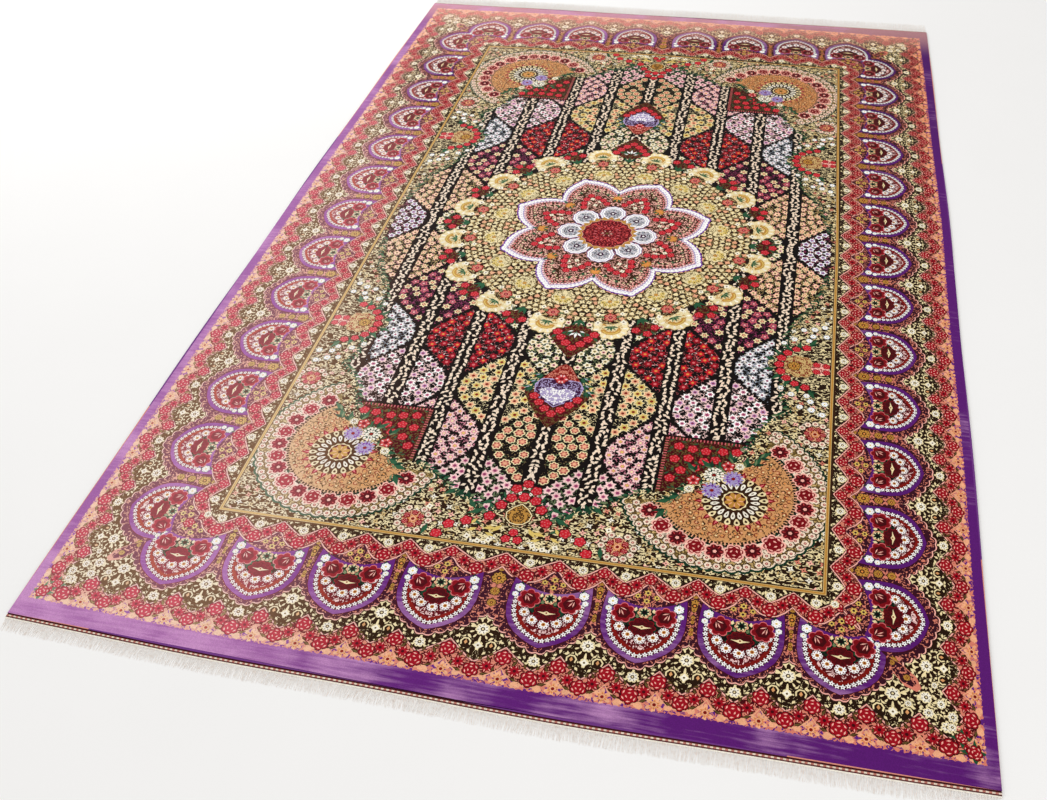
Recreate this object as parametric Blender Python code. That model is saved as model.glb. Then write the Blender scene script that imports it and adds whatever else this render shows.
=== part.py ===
"""A knotted silk rug lying flat: the pile slab, and at each end a woven strip with its warp fringe.

Metres, +Z up. The rug lies on z = 0, its length runs along Y with the near end at -Y, and the
whole thing, fringes included, is centred on the origin.
"""

import math
import random

import bmesh
import bpy
from mathutils import Matrix, Vector

# Pile slab, measured from corner to corner
WIDTH = 1.600
LENGTH = 2.600
THICKNESS = 0.004
EDGE_ROUNDING = 0.0012
ROUNDING_STEPS = 2
CELLS_ACROSS = 16
CELLS_ALONG = 24

# The edges of a hand-made rug aren't straight. Each row says how far the middle of an edge stands
# out past the line between its corners, and how deep and how many its smaller waves are.
EDGES = {
    "near": {"bulge": 0.013, "wave": 0.0016, "waves": 2.5},
    "far": {"bulge": 0.004, "wave": 0.0014, "waves": 3.0},
    "left": {"bulge": 0.011, "wave": 0.0015, "waves": 3.5},
    "right": {"bulge": 0.009, "wave": 0.0018, "waves": 3.0},
}

# Woven end strips, parted from the slab by a hair
STRIP_WIDTH = 0.009
STRIP_THICKNESS = 0.002
PARTING = 0.0003

# Fringe
STRANDS = 120
NEAR_FRINGE = 0.026
FAR_FRINGE = 0.056
LENGTH_SPREAD = 0.10
STRAND_SHARE = 0.42
TIP_SHARE = 0.5
TIP_THICKNESS = 0.0011
BEND_AT = 0.5
MOST_SWAY = 0.0022
FRINGE_SEED = 7

PILE_COLOUR = (0.34, 0.13, 0.16, 1.0)
WARP_COLOUR = (0.83, 0.78, 0.68, 1.0)
PILE_ROUGHNESS = 0.62
WARP_ROUGHNESS = 0.85


def clear_scene():
    for thing in list(bpy.data.objects):
        bpy.data.objects.remove(thing, do_unlink=True)


def fabric(name, colour, roughness):
    """A plain cloth finish."""
    material = bpy.data.materials.new(name)
    material.use_nodes = True
    shader = material.node_tree.nodes["Principled BSDF"]
    shader.inputs["Base Color"].default_value = colour
    shader.inputs["Roughness"].default_value = roughness
    shader.inputs["Metallic"].default_value = 0.0
    return material


def reach(edge, along):
    """How far an edge stands out at along, which runs from -1 at one corner to 1 at the other."""
    row = EDGES[edge]
    swell = 1.0 - along * along
    return swell * (row["bulge"] + row["wave"] * math.sin(math.pi * row["waves"] * along))


def laid(across, along):
    """The place on the floor of a point of the slab, both shares running from -1 to 1."""
    side = "right" if across > 0 else "left"
    end = "far" if along > 0 else "near"
    x = across * (WIDTH / 2 + reach(side, along))
    y = along * (LENGTH / 2 + reach(end, across))
    return x, y


def finished(name, mesh, material):
    """A mesh object made from a bmesh, which is freed."""
    bmesh.ops.recalc_face_normals(mesh, faces=mesh.faces)
    data = bpy.data.meshes.new(name)
    mesh.to_mesh(data)
    mesh.free()
    data.materials.append(material)
    piece = bpy.data.objects.new(name, data)
    bpy.context.scene.collection.objects.link(piece)
    return piece


def pile_slab(material):
    """The rug's body: a flat slab with uneven edges and a softly rounded upper rim."""
    mesh = bmesh.new()
    bmesh.ops.create_grid(mesh, x_segments=CELLS_ACROSS, y_segments=CELLS_ALONG, size=1.0)
    for vertex in mesh.verts:
        vertex.co.xy = laid(vertex.co.x, vertex.co.y)
    raised = bmesh.ops.extrude_face_region(mesh, geom=mesh.faces[:], use_keep_orig=True)
    lifted = [item for item in raised["geom"] if isinstance(item, bmesh.types.BMVert)]
    bmesh.ops.translate(mesh, verts=lifted, vec=(0.0, 0.0, THICKNESS))
    rim = [
        edge
        for edge in mesh.edges
        if all(vertex.co.z > THICKNESS / 2 for vertex in edge.verts)
        and any(abs(face.normal.z) < 0.5 for face in edge.link_faces)
    ]
    bmesh.ops.bevel(
        mesh,
        geom=rim,
        offset=EDGE_ROUNDING,
        segments=ROUNDING_STEPS,
        profile=0.5,
        affect="EDGES",
        material=-1,
    )
    return finished("rug_body", mesh, material)


def strip_line(end, across, outward):
    """A point beside an end of the slab, outward metres past its edge."""
    direction = 1.0 if end == "far" else -1.0
    y = direction * (LENGTH / 2 + reach(end, across) + outward)
    return Vector((across * WIDTH / 2, y, 0.0))


def strip_cells(mesh, end):
    """Builds the woven strip cell by cell, and returns the outer wall of each cell that bears a strand."""
    pitch = 2.0 / STRANDS
    bounds = []
    for strand in range(STRANDS):
        middle = -1.0 + (strand + 0.5) * pitch
        bounds.append(middle - pitch * STRAND_SHARE / 2)
        bounds.append(middle + pitch * STRAND_SHARE / 2)
    bounds = [-1.0] + bounds + [1.0]
    rows = []
    for across in bounds:
        inner = strip_line(end, across, PARTING)
        outer = strip_line(end, across, PARTING + STRIP_WIDTH)
        row = [mesh.verts.new(point) for point in (inner, outer)]
        rows.append(row)
    cells = [
        mesh.faces.new((before[0], before[1], after[1], after[0]))
        for before, after in zip(rows, rows[1:])
    ]
    raised = bmesh.ops.extrude_face_region(mesh, geom=cells, use_keep_orig=True)
    lifted = [item for item in raised["geom"] if isinstance(item, bmesh.types.BMVert)]
    bmesh.ops.translate(mesh, verts=lifted, vec=(0.0, 0.0, STRIP_THICKNESS))
    mesh.verts.index_update()
    roots = []
    for index in range(1, len(rows) - 1, 2):
        edge = mesh.edges.get((rows[index][1], rows[index + 1][1]))
        wall = next(face for face in edge.link_faces if face not in cells)
        roots.append(wall)
    return roots


def grow_strand(mesh, root, outward, length, sway):
    """Draws a strand out of its root in two stretches, tapering, with its underside on the floor."""
    stretches = (BEND_AT, 1.0 - BEND_AT)
    thickness_left = TIP_THICKNESS / STRIP_THICKNESS
    face = root
    done = 0.0
    for stretch in stretches:
        grown = bmesh.ops.extrude_discrete_faces(mesh, faces=[face])
        face = grown["faces"][0]
        done += stretch
        shift = Vector((sway * stretch * done, outward * length * stretch, 0.0))
        bmesh.ops.translate(mesh, verts=face.verts[:], vec=shift)
        narrowed = TIP_SHARE**stretch
        lowered = thickness_left**stretch
        middle = face.calc_center_median()
        about = Matrix.Translation((-middle.x, -middle.y, 0.0))
        bmesh.ops.scale(
            mesh, verts=face.verts[:], vec=(narrowed, 1.0, lowered), space=about
        )


def fringed_strip(name, end, length, seed, material):
    """A woven end strip with its row of loose strands, as one body."""
    mesh = bmesh.new()
    draw = random.Random(seed)
    outward = 1.0 if end == "far" else -1.0
    for root in strip_cells(mesh, end):
        strand = length * (1.0 - LENGTH_SPREAD * draw.random())
        sway = MOST_SWAY * draw.uniform(-1.0, 1.0)
        grow_strand(mesh, root, outward, strand, sway)
    return finished(name, mesh, material)


def centre(pieces):
    """Moves the pieces together so that their common box is centred over the origin."""
    points = [vertex.co for piece in pieces for vertex in piece.data.vertices]
    middle_x = (min(p.x for p in points) + max(p.x for p in points)) / 2
    middle_y = (min(p.y for p in points) + max(p.y for p in points)) / 2
    for piece in pieces:
        piece.data.transform(Matrix.Translation((-middle_x, -middle_y, 0.0)))


def main():
    clear_scene()
    pile = fabric("knotted_silk", PILE_COLOUR, PILE_ROUGHNESS)
    warp = fabric("warp_silk", WARP_COLOUR, WARP_ROUGHNESS)
    body = pile_slab(pile)
    near = fringed_strip("fringe_near", "near", NEAR_FRINGE, FRINGE_SEED, warp)
    far = fringed_strip("fringe_far", "far", FAR_FRINGE, FRINGE_SEED + 1, warp)
    centre([body, near, far])


main()
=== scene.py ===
"""A hand-knotted silk rug: rose border, trellis field, star medallion, corner roundels and warp fringe.

The pattern is drawn on a squared chart, as a weaver's cartoon is. One quarter is drawn and the rest is
its mirror image. Places on the chart are complex numbers: the real part runs across the rug and the
imaginary part along it, in squares, from the middle of the pile. Metres everywhere else.
"""

import cmath
import logging
import math
import random
from collections.abc import Callable, Iterator
from dataclasses import dataclass, field, replace
from enum import Enum
from functools import cached_property

import bmesh
import bpy
import numpy as np
from bmesh.types import BMEdge, BMesh, BMVert
from bpy.types import ID, Material, Node, NodeSocket, NodeTree, Object
from mathutils import Matrix, Vector
from mathutils.geometry import delaunay_2d_cdt


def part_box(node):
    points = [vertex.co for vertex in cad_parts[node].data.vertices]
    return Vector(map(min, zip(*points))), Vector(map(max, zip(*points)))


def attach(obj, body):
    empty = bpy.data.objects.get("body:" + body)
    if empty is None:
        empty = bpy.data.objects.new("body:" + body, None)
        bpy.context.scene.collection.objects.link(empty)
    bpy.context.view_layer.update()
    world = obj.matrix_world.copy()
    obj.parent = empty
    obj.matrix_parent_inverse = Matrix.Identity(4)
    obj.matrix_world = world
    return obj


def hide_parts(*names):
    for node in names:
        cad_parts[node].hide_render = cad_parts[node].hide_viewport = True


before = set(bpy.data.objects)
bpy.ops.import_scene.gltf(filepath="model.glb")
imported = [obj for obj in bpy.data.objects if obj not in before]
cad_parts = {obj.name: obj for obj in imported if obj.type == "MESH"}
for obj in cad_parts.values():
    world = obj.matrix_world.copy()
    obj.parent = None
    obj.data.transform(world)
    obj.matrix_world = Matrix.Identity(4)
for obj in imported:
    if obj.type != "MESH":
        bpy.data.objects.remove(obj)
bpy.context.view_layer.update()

log = logging.getLogger("rug")

NEAR_FRINGE = 0.026
FAR_FRINGE = 0.056

# Half the pile, in squares
HALF_ACROSS = 600.0
HALF_ALONG = 975.0

Outline = list[complex]


# ---- Dyes and grounds ----


class Dye(Enum):
    """The yarn colours, as display values from 0 to 255."""

    PURPLE = (106, 38, 128)
    ORCHID = (108, 44, 138)
    VIOLET = (128, 66, 170)
    LILAC = (200, 158, 200)
    LAVENDER = (178, 164, 205)
    SMOKE = (168, 178, 190)
    SILVER = (212, 208, 214)
    AUBERGINE = (66, 22, 62)
    PLUM = (70, 22, 42)
    MAUVE = (150, 62, 104)
    WINE = (84, 6, 18)
    GARNET = (106, 8, 24)
    CRIMSON = (140, 14, 30)
    RED = (168, 18, 40)
    SCARLET = (204, 40, 54)
    CORAL = (214, 84, 84)
    ROSE = (222, 118, 122)
    BLUSH = (250, 190, 176)
    PINK = (224, 148, 166)
    PALE_PINK = (246, 212, 208)
    SALMON = (222, 142, 122)
    DUSTY = (196, 122, 106)
    SHELL = (246, 226, 204)
    PEACH = (240, 182, 146)
    ORANGE = (232, 156, 84)
    RUST = (140, 30, 22)
    GOLD = (202, 152, 74)
    TAN = (222, 168, 116)
    SAND = (212, 184, 128)
    YELLOW = (226, 200, 116)
    CREAM = (244, 228, 182)
    IVORY = (250, 244, 228)
    WHITE = (255, 253, 250)
    OLIVE = (112, 92, 50)
    UMBER = (70, 42, 18)
    BROWN = (50, 28, 8)
    COAL = (20, 8, 6)
    FOREST = (24, 66, 46)
    GREEN = (48, 98, 68)
    SAGE = (120, 138, 100)

    def linear(self) -> tuple[float, float, float]:
        """The dye as scene-linear light."""
        shares = (value / 255 for value in self.value)
        return tuple(s / 12.92 if s <= 0.04045 else ((s + 0.055) / 1.055) ** 2.4 for s in shares)


@dataclass(frozen=True)
class Ground:
    """A stretch of pile in one dye, sprinkled with small leaves of another, with a share of painted sheen
    streaks.
    """

    dye: Dye
    sprig: Dye = Dye.CREAM
    cover: float = 0.0
    # share of painted sheen streaks: lighter stripes of caught light
    brushed_sheen: float = 0.0
    coarse: bool = False

    def looks(self) -> list[float]:
        """Dye, share of painted sheen streaks, sprig dye, and one number for the cover and the size of the
        sprigs.
        """
        cover = self.cover / 2 + (0.5 if self.coarse else 0.0)
        return [*self.dye.linear(), self.brushed_sheen, *self.sprig.linear(), cover]


Yarn = Dye | Ground


class Cloth:
    """The grounds of the rug, by the place that they fill."""

    # the band and the shield carry painted sheen streaks
    BAND = Ground(Dye.PURPLE, brushed_sheen=1.0)
    SHIELD = Ground(Dye.PURPLE, brushed_sheen=0.6)
    STRIP = Ground(Dye.SALMON, Dye.ORCHID, 0.40)
    GUARD = Ground(Dye.SALMON, Dye.WINE, 0.50)
    BORDER = Ground(Dye.BROWN, Dye.CREAM, 0.06)
    COLUMN = Ground(Dye.PLUM, Dye.SALMON, 0.28)
    SHIELD_HEM = Ground(Dye.PLUM, Dye.SALMON, 0.20)
    GARLAND = Ground(Dye.SALMON, Dye.WINE, 0.50)
    CRESCENT = Ground(Dye.GARNET, Dye.PALE_PINK, 0.30)
    HOLLOW = Ground(Dye.COAL, Dye.FOREST, 0.40)
    VINES = Ground(Dye.BROWN, Dye.CREAM, 0.34, coarse=True)
    MEDALLION = Ground(Dye.BROWN, Dye.SAND, 0.24)
    LOBE = Ground(Dye.UMBER, Dye.BLUSH, 0.34)
    PETAL = Ground(Dye.SILVER, Dye.COAL, 0.30)
    ROSETTE = Ground(Dye.GARNET, Dye.CORAL, 0.36)
    ROSE_BED = Ground(Dye.WINE, Dye.OLIVE, 0.34)
    RING = Ground(Dye.SHELL, Dye.UMBER, 0.36)
    ROUNDEL = Ground(Dye.TAN, Dye.UMBER, 0.22)
    FAN = Ground(Dye.CREAM, Dye.OLIVE, 0.30)


# ---- Outlines ----


def spoke(radius: float, degrees: float) -> complex:
    """The point at a radius and an angle from the origin."""
    return cmath.rect(radius, math.radians(degrees))


def turned(outline: Outline, at: complex = 0j, turn: float = 0.0, size: float = 1.0) -> Outline:
    """An outline turned about the origin by degrees, then sized and moved."""
    spin = spoke(size, turn)
    return [at + spin * point for point in outline]


def faced(turn: float, side: float) -> float:
    """A direction in degrees as it is on one side of an axis, where side is above or below 0."""
    return turn if side > 0 else 180 - turn


def disc(radius: float, sides: int = 8) -> Outline:
    """A round of a few sides."""
    return [spoke(radius, 360 * (side + 0.5) / sides) for side in range(sides)]


def star(tips: int, outer: float, inner: float) -> Outline:
    """A star whose first tip points to the right."""
    return [spoke(outer if step % 2 == 0 else inner, 180 * step / tips) for step in range(2 * tips)]


def scallops(lobes: int, outer: float, notch: float) -> Outline:
    """A flower's rim: round lobes that meet in notches, the first lobe to the right."""
    lobe = ((-0.5, notch), (-0.26, outer * 0.95), (0.0, outer), (0.26, outer * 0.95))
    return [spoke(radius, 360 * (index + share) / lobes) for index in range(lobes) for share, radius in lobe]


def petal(length: float, width: float) -> Outline:
    """A rounded petal that grows from the origin to the right.

    Args:
        length: how far it reaches.
        width: its greatest width.

    Returns:
        The outline.
    """
    half = width / 2
    shape = ((0.0, 0.25), (0.38, 0.85), (0.74, 1.0), (1.0, 0.4))
    upper = [complex(length * along, half * out) for along, out in shape]
    return [point.conjugate() for point in upper] + upper[::-1]


def leaf(length: float, width: float) -> Outline:
    """A pointed leaf that grows from the origin to the right."""
    return [0j, complex(length * 0.42, -width / 2), complex(length, 0), complex(length * 0.42, width / 2)]


def crescent(radius: float, width: float, start: float, stop: float, steps: int) -> Outline:
    """A band along an arc, from one angle in degrees to another.

    Args:
        radius: the arc's radius.
        width: the band's width.
        start: the angle where it begins.
        stop: the angle where it ends.
        steps: how many straight stretches it has.

    Returns:
        The outline.
    """
    angles = [start + (stop - start) * step / steps for step in range(steps + 1)]
    outer = [spoke(radius + width / 2, angle) for angle in angles]
    inner = [spoke(radius - width / 2, angle) for angle in angles]
    return outer + inner[::-1]


def ribbon(path: Outline, width: float) -> Outline:
    """A stripe of even width along a path.

    Args:
        path: the line that it follows.
        width: its width.

    Returns:
        The outline.
    """
    left, right = [], []
    for index, point in enumerate(path):
        before = path[max(index - 1, 0)]
        after = path[min(index + 1, len(path) - 1)]
        side = (after - before) / abs(after - before) * 1j * width / 2
        left.append(point + side)
        right.append(point - side)
    return right + left[::-1]


def polar(radius_at: Callable[[float], float], steps: int) -> Outline:
    """The closed curve of a radius that follows the angle in degrees."""
    angles = (360 * step / steps for step in range(steps))
    return [spoke(radius_at(angle), angle) for angle in angles]


def scaled(outline: Outline, about: complex, share: float) -> Outline:
    """An outline made larger or smaller about a place."""
    return [about + (point - about) * share for point in outline]


def both_sides(half: Outline) -> Outline:
    """A closed outline from its right half, which starts and ends on the axis."""
    return half + [complex(-point.real, point.imag) for point in reversed(half)]


def rippled(path: Outline, pitch: float, depth: float) -> Outline:
    """A path made into a row of scallops that swell to its right.

    Args:
        path: the line that it follows.
        pitch: about how wide a scallop is.
        depth: how far the scallops swell.

    Returns:
        The scalloped path.
    """
    result = []
    for here, there in zip(path, path[1:]):
        count = max(1, round(abs(there - here) / pitch))
        out = (there - here) / abs(there - here) * -1j * depth
        for index in range(count):
            result.append(here + (there - here) * index / count)
            for share, swell in ((0.25, 0.75), (0.5, 1.0), (0.75, 0.75)):
                result.append(here + (there - here) * (index + share) / count + out * swell)
    return result + [path[-1]]


def wound(outline: Outline) -> Outline:
    """The outline in anticlockwise order."""
    area = sum((a.conjugate() * b).imag for a, b in zip(outline, outline[1:] + outline[:1]))
    return outline if area > 0 else outline[::-1]


def inside(point: complex, outline: Outline) -> bool:
    """Whether a point lies in an outline.

    Args:
        point: the point.
        outline: the closed outline.

    Returns:
        True where it does.
    """
    result = False
    for a, b in zip(outline, outline[1:] + outline[:1]):
        crosses = (a.imag > point.imag) != (b.imag > point.imag)
        if crosses and point.real < a.real + (b.real - a.real) * (point.imag - a.imag) / (b.imag - a.imag):
            result = not result
    return result


# ---- Flowers ----


@dataclass(frozen=True)
class Bloom:
    """A flower seen from above: rim, body, petal strokes and heart."""

    lobes: int
    rim: Yarn
    body: Yarn
    heart: Yarn
    stroke: Yarn | None = None
    pointed: bool = False
    stroke_width: float = 0.2
    body_share: float = 0.8
    heart_share: float = 0.34
    eye: Yarn | None = None
    curled: bool = False

    def edge(self, radius: float) -> Outline:
        """The flower's rim at a radius.

        Args:
            radius: how far its tips reach.

        Returns:
            The outline.
        """
        if self.pointed:
            return star(self.lobes, radius, radius * 0.6)
        return scallops(self.lobes, radius, radius * 0.78)

    def layers(self, radius: float) -> list[tuple[Outline, Yarn]]:
        """The flower's outlines in paint order, each with its yarn.

        Args:
            radius: how far the flower's tips reach.

        Returns:
            The pairs of outline and yarn.
        """
        layers = [(self.edge(radius), self.rim)]
        layers.append((self.edge(radius * self.body_share), self.body))
        if self.curled:
            for count, out, length in ((self.lobes, 0.64, 0.44), (3, 0.28, 0.34)):
                layers += [(curl, self.stroke) for curl in self.curls(radius, count, out, length)]
            return layers
        if self.stroke is not None:
            slit = turned(leaf(radius * 0.46, radius * self.stroke_width), radius * 0.4)
            layers += [(turned(slit, 0j, 360 * lobe / self.lobes), self.stroke) for lobe in range(self.lobes)]
        layers.append((disc(radius * self.heart_share, 6), self.heart))
        if self.eye is not None:
            layers.append((disc(radius * self.heart_share * 0.5, 5), self.eye))
        return layers

    def curls(self, radius: float, count: int, out: float, length: float) -> list[Outline]:
        """Dashes round the heart, the pale edges of curled petals. Sizes are shares of the radius.

        Args:
            radius: how far the flower's tips reach.
            count: how many dashes.
            out: how far from the heart they lie.
            length: their length.

        Returns:
            The dashes' outlines.
        """
        dash = [point - radius * length / 2 for point in leaf(radius * length, radius * self.stroke_width)]
        dash = turned(dash, radius * out, 100)
        return [turned(dash, 0j, 360 * index / count) for index in range(count)]


class Flower:
    """The flowers that the pattern repeats."""

    ROSE = Bloom(6, Dye.WINE, Dye.RED, Dye.RED, Dye.BLUSH, stroke_width=0.17, body_share=0.88, curled=True)
    BRIGHT_ROSE = Bloom(
        5, Dye.WINE, Dye.SCARLET, Dye.RED, Dye.ROSE, stroke_width=0.2, body_share=0.86, curled=True
    )
    DARK_ROSE = Bloom(
        7, Dye.BLUSH, Dye.GARNET, Dye.WINE, Dye.CORAL, stroke_width=0.09, body_share=0.84, heart_share=0.4,
        eye=Dye.BLUSH,
    )
    DOUBLE_ROSE = Bloom(
        7, Dye.BLUSH, Dye.CRIMSON, Dye.RED, Dye.BLUSH, stroke_width=0.17, body_share=0.84, curled=True
    )
    GREAT_ROSE = Bloom(7, Dye.ROSE, Dye.CRIMSON, Dye.WINE, body_share=0.91, heart_share=0.6, eye=Dye.GARNET)
    SOFT_ROSE = Bloom(5, Dye.RUST, Dye.CORAL, Dye.CRIMSON, Dye.PALE_PINK, stroke_width=0.26)
    BUD_ROSE = Bloom(
        5, Dye.WINE, Dye.RED, Dye.RED, Dye.BLUSH, stroke_width=0.18, body_share=0.88, curled=True
    )
    CARNATION = Bloom(
        6, Dye.WINE, Dye.RED, Dye.WINE, Dye.BLUSH, pointed=True, stroke_width=0.13, body_share=0.9,
        heart_share=0.22,
    )
    CREAM_DAISY = Bloom(7, Dye.CREAM, Dye.IVORY, Dye.UMBER, Dye.UMBER, stroke_width=0.13, eye=Dye.CREAM)
    CREAM_STAR = Bloom(4, Dye.CREAM, Dye.IVORY, Dye.OLIVE, pointed=True, heart_share=0.22)
    GOLD_DAISY = Bloom(
        8, Dye.BROWN, Dye.GOLD, Dye.UMBER, Dye.UMBER, stroke_width=0.14, body_share=0.86, eye=Dye.ORANGE
    )
    GOLD_STAR = Bloom(6, Dye.GOLD, Dye.YELLOW, Dye.PLUM, pointed=True)
    ORANGE_STAR = Bloom(6, Dye.ORANGE, Dye.PEACH, Dye.RUST, Dye.RUST, pointed=True, stroke_width=0.1)
    WHITE_DAISY = Bloom(
        8, Dye.WINE, Dye.WHITE, Dye.GOLD, Dye.CRIMSON, stroke_width=0.19, body_share=0.84, eye=Dye.RUST
    )
    WHITE_BLOSSOM = Bloom(
        6, Dye.FOREST, Dye.WHITE, Dye.YELLOW, Dye.SMOKE, stroke_width=0.14, body_share=0.88, heart_share=0.22
    )
    EDGE_DAISY = Bloom(6, Dye.UMBER, Dye.SHELL, Dye.RUST, eye=Dye.BLUSH)
    SALMON_ROSE = Bloom(6, Dye.RUST, Dye.SALMON, Dye.CRIMSON, Dye.CORAL, stroke_width=0.26, eye=Dye.ROSE)


@dataclass
class Panel:
    """A flat inlay of triangles: places in squares, and each face's yarn and tone."""

    spots: np.ndarray
    faces: np.ndarray
    yarns: np.ndarray
    tones: np.ndarray

    def mirrored(self, across: bool, along: bool) -> "Panel":
        """The panel's mirror image, with its faces still facing up.

        Args:
            across: whether left and right change places.
            along: whether near and far change places.

        Returns:
            The new panel.
        """
        signs = np.array([-1.0 if across else 1.0, -1.0 if along else 1.0])
        faces = self.faces if across == along else self.faces[:, ::-1]
        return Panel(self.spots * signs, faces, self.yarns, self.tones)

    def joined(self, other: "Panel") -> "Panel":
        """This panel and another as one.

        Args:
            other: the panel that is added.

        Returns:
            The new panel.
        """
        faces = np.concatenate([self.faces, other.faces + len(self.spots)])
        yarns = np.concatenate([self.yarns, other.yarns])
        tones = np.concatenate([self.tones, other.tones])
        return Panel(np.concatenate([self.spots, other.spots]), faces, yarns, tones)


YARNS: list[Yarn] = []


def yarn_number(yarn: Yarn) -> int:
    """The yarn's number on the list of those in use.

    Args:
        yarn: the yarn.

    Returns:
        Its place on the list, where a new yarn is added at the end.
    """
    if yarn not in YARNS:
        YARNS.append(yarn)
    return YARNS.index(yarn)


@dataclass
class Chart:
    """A quarter of the pattern, drawn in paint order over one ground and then knotted flat."""

    ground: Outline
    base: Yarn
    seed: int
    outlines: list[Outline] = field(default_factory=list)
    yarns: list[int] = field(default_factory=list)
    welding: float = 0.004
    tone_spread: float = 0.07
    row_share: float = 0.866

    def __post_init__(self) -> None:
        """Starts the random draws and the chart's box."""
        self.draw = random.Random(self.seed)
        self.low = complex(min(p.real for p in self.ground), min(p.imag for p in self.ground))
        self.high = complex(max(p.real for p in self.ground), max(p.imag for p in self.ground))
        self.paint(self.ground, self.base)

    def reaches(self, at: complex, radius: float) -> bool:
        """Whether a round of that radius meets the chart's box."""
        across = self.low.real - radius < at.real < self.high.real + radius
        return across and self.low.imag - radius < at.imag < self.high.imag + radius

    def paint(
        self, outline: Outline, yarn: Yarn, at: complex = 0j, turn: float = 0.0, size: float = 1.0
    ) -> None:
        """Lays an outline filled with yarn over what is there, turned by degrees, sized and moved."""
        self.outlines.append(wound(turned(outline, at, turn, size)))
        self.yarns.append(yarn_number(yarn))

    def line(self, path: Outline, width: float, yarn: Yarn) -> None:
        """Lays a stripe along a path."""
        self.paint(ribbon(path, width), yarn)

    def bloom(self, flower: Bloom, at: complex, radius: float, turn: float = 0.0) -> None:
        """Lays a flower.

        Args:
            flower: its kind.
            at: its middle.
            radius: how far its tips reach.
            turn: the direction of its first petal in degrees.
        """
        if self.reaches(at, radius):
            for outline, yarn in flower.layers(radius):
                self.paint(outline, yarn, at, turn)

    def leaf(self, at: complex, length: float, width: float, turn: float, yarn: Yarn) -> None:
        """Lays a pointed leaf that grows from a place in a direction in degrees."""
        if self.reaches(at, length):
            self.paint(leaf(length, width), yarn, at, turn)

    def wheel(
        self, at: complex, count: int, inner: float, length: float, width: float, yarn: Yarn,
        turn: float = 0.0,
    ) -> None:
        """Lays petals round a place, like the spokes of a wheel.

        Args:
            at: the wheel's middle.
            count: how many petals.
            inner: the radius at which they start.
            length: their length.
            width: their width.
            yarn: their yarn.
            turn: the first one's direction in degrees.
        """
        if self.reaches(at, inner + length):
            shape = petal(length, width)
            for index in range(count):
                angle = turn + 360 * index / count
                self.paint(shape, yarn, at + spoke(inner, angle), angle)

    def beads(self, path: Outline, pitch: float, bead: Outline, yarn: Yarn) -> None:
        """Lays one small outline after the other along a path.

        Args:
            path: the path.
            pitch: the distance from one to the next.
            bead: the small outline, about the origin.
            yarn: its yarn.
        """
        left = pitch / 2
        for here, there in zip(path, path[1:]):
            length = abs(there - here)
            turn = math.degrees(cmath.phase(there - here))
            while left < length:
                self.paint(bead, yarn, here + (there - here) * left / length, turn)
                left += pitch
            left -= length

    def scatter(self, low: complex, high: complex, spacing: float, jitter: float = 0.2) -> Iterator[complex]:
        """Places on an uneven triangular grid.

        Args:
            low: the box's lower left corner.
            high: its upper right corner.
            spacing: the distance from one place to the next.
            jitter: how far each may lie off the grid, as a share of the spacing.

        Yields:
            Each place.
        """
        row_height = spacing * self.row_share
        rows = max(1, round((high.imag - low.imag) / row_height))
        for row in range(rows + 1):
            shift = spacing / 2 if row % 2 else 0.0
            columns = int((high.real - low.real - shift) / spacing)
            for column in range(columns + 1):
                spot = low + complex(shift + column * spacing, row * row_height)
                off = spoke(spacing * jitter * self.draw.random(), 360 * self.draw.random())
                yield spot + off

    def knot(self) -> Panel:
        """Cuts the overlapping outlines into one flat layer of triangles.

        Returns:
            The panel, where each face has the yarn that was laid there last.
        """
        corners = [Vector((p.real, p.imag)) for outline in self.outlines for p in outline]
        ends = np.cumsum([len(outline) for outline in self.outlines]).tolist()
        loops = [list(range(end - len(outline), end)) for end, outline in zip(ends, self.outlines)]
        found = delaunay_2d_cdt(corners, [], loops, 1, self.welding, True)
        inlay = bmesh.new()
        corners = [inlay.verts.new((*spot, 0.0)) for spot in found[0]]
        for face, owners in zip(found[2], found[5]):
            if owners and min(owners) == 0:
                inlay.faces.new([corners[index] for index in face]).material_index = max(owners)
        self.thin(inlay)
        spots = np.array([vertex.co.xy for vertex in inlay.verts])
        faces = np.array([[vertex.index for vertex in face.verts] for face in inlay.faces])
        top = np.array([face.material_index for face in inlay.faces])
        inlay.free()
        tones = np.array([1 + self.tone_spread * self.draw.uniform(-1, 1) for _ in self.outlines])
        return Panel(spots, faces, np.array(self.yarns)[top], tones[top])

    @staticmethod
    def thin(inlay: BMesh) -> None:
        """Clears away the lines that lie hidden under what was laid later.

        Args:
            inlay: the cut layer, each face marked with the outline on top.
        """
        inlay.normal_update()
        bmesh.ops.dissolve_limit(
            inlay, angle_limit=math.radians(2), verts=inlay.verts[:], edges=inlay.edges[:],
            delimit={"MATERIAL"},
        )
        loose = [vertex for vertex in inlay.verts if not vertex.link_faces]
        bmesh.ops.delete(inlay, geom=loose, context="VERTS")
        bmesh.ops.triangulate(inlay, faces=inlay.faces[:])
        inlay.verts.index_update()


# ---- The border ----


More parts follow.
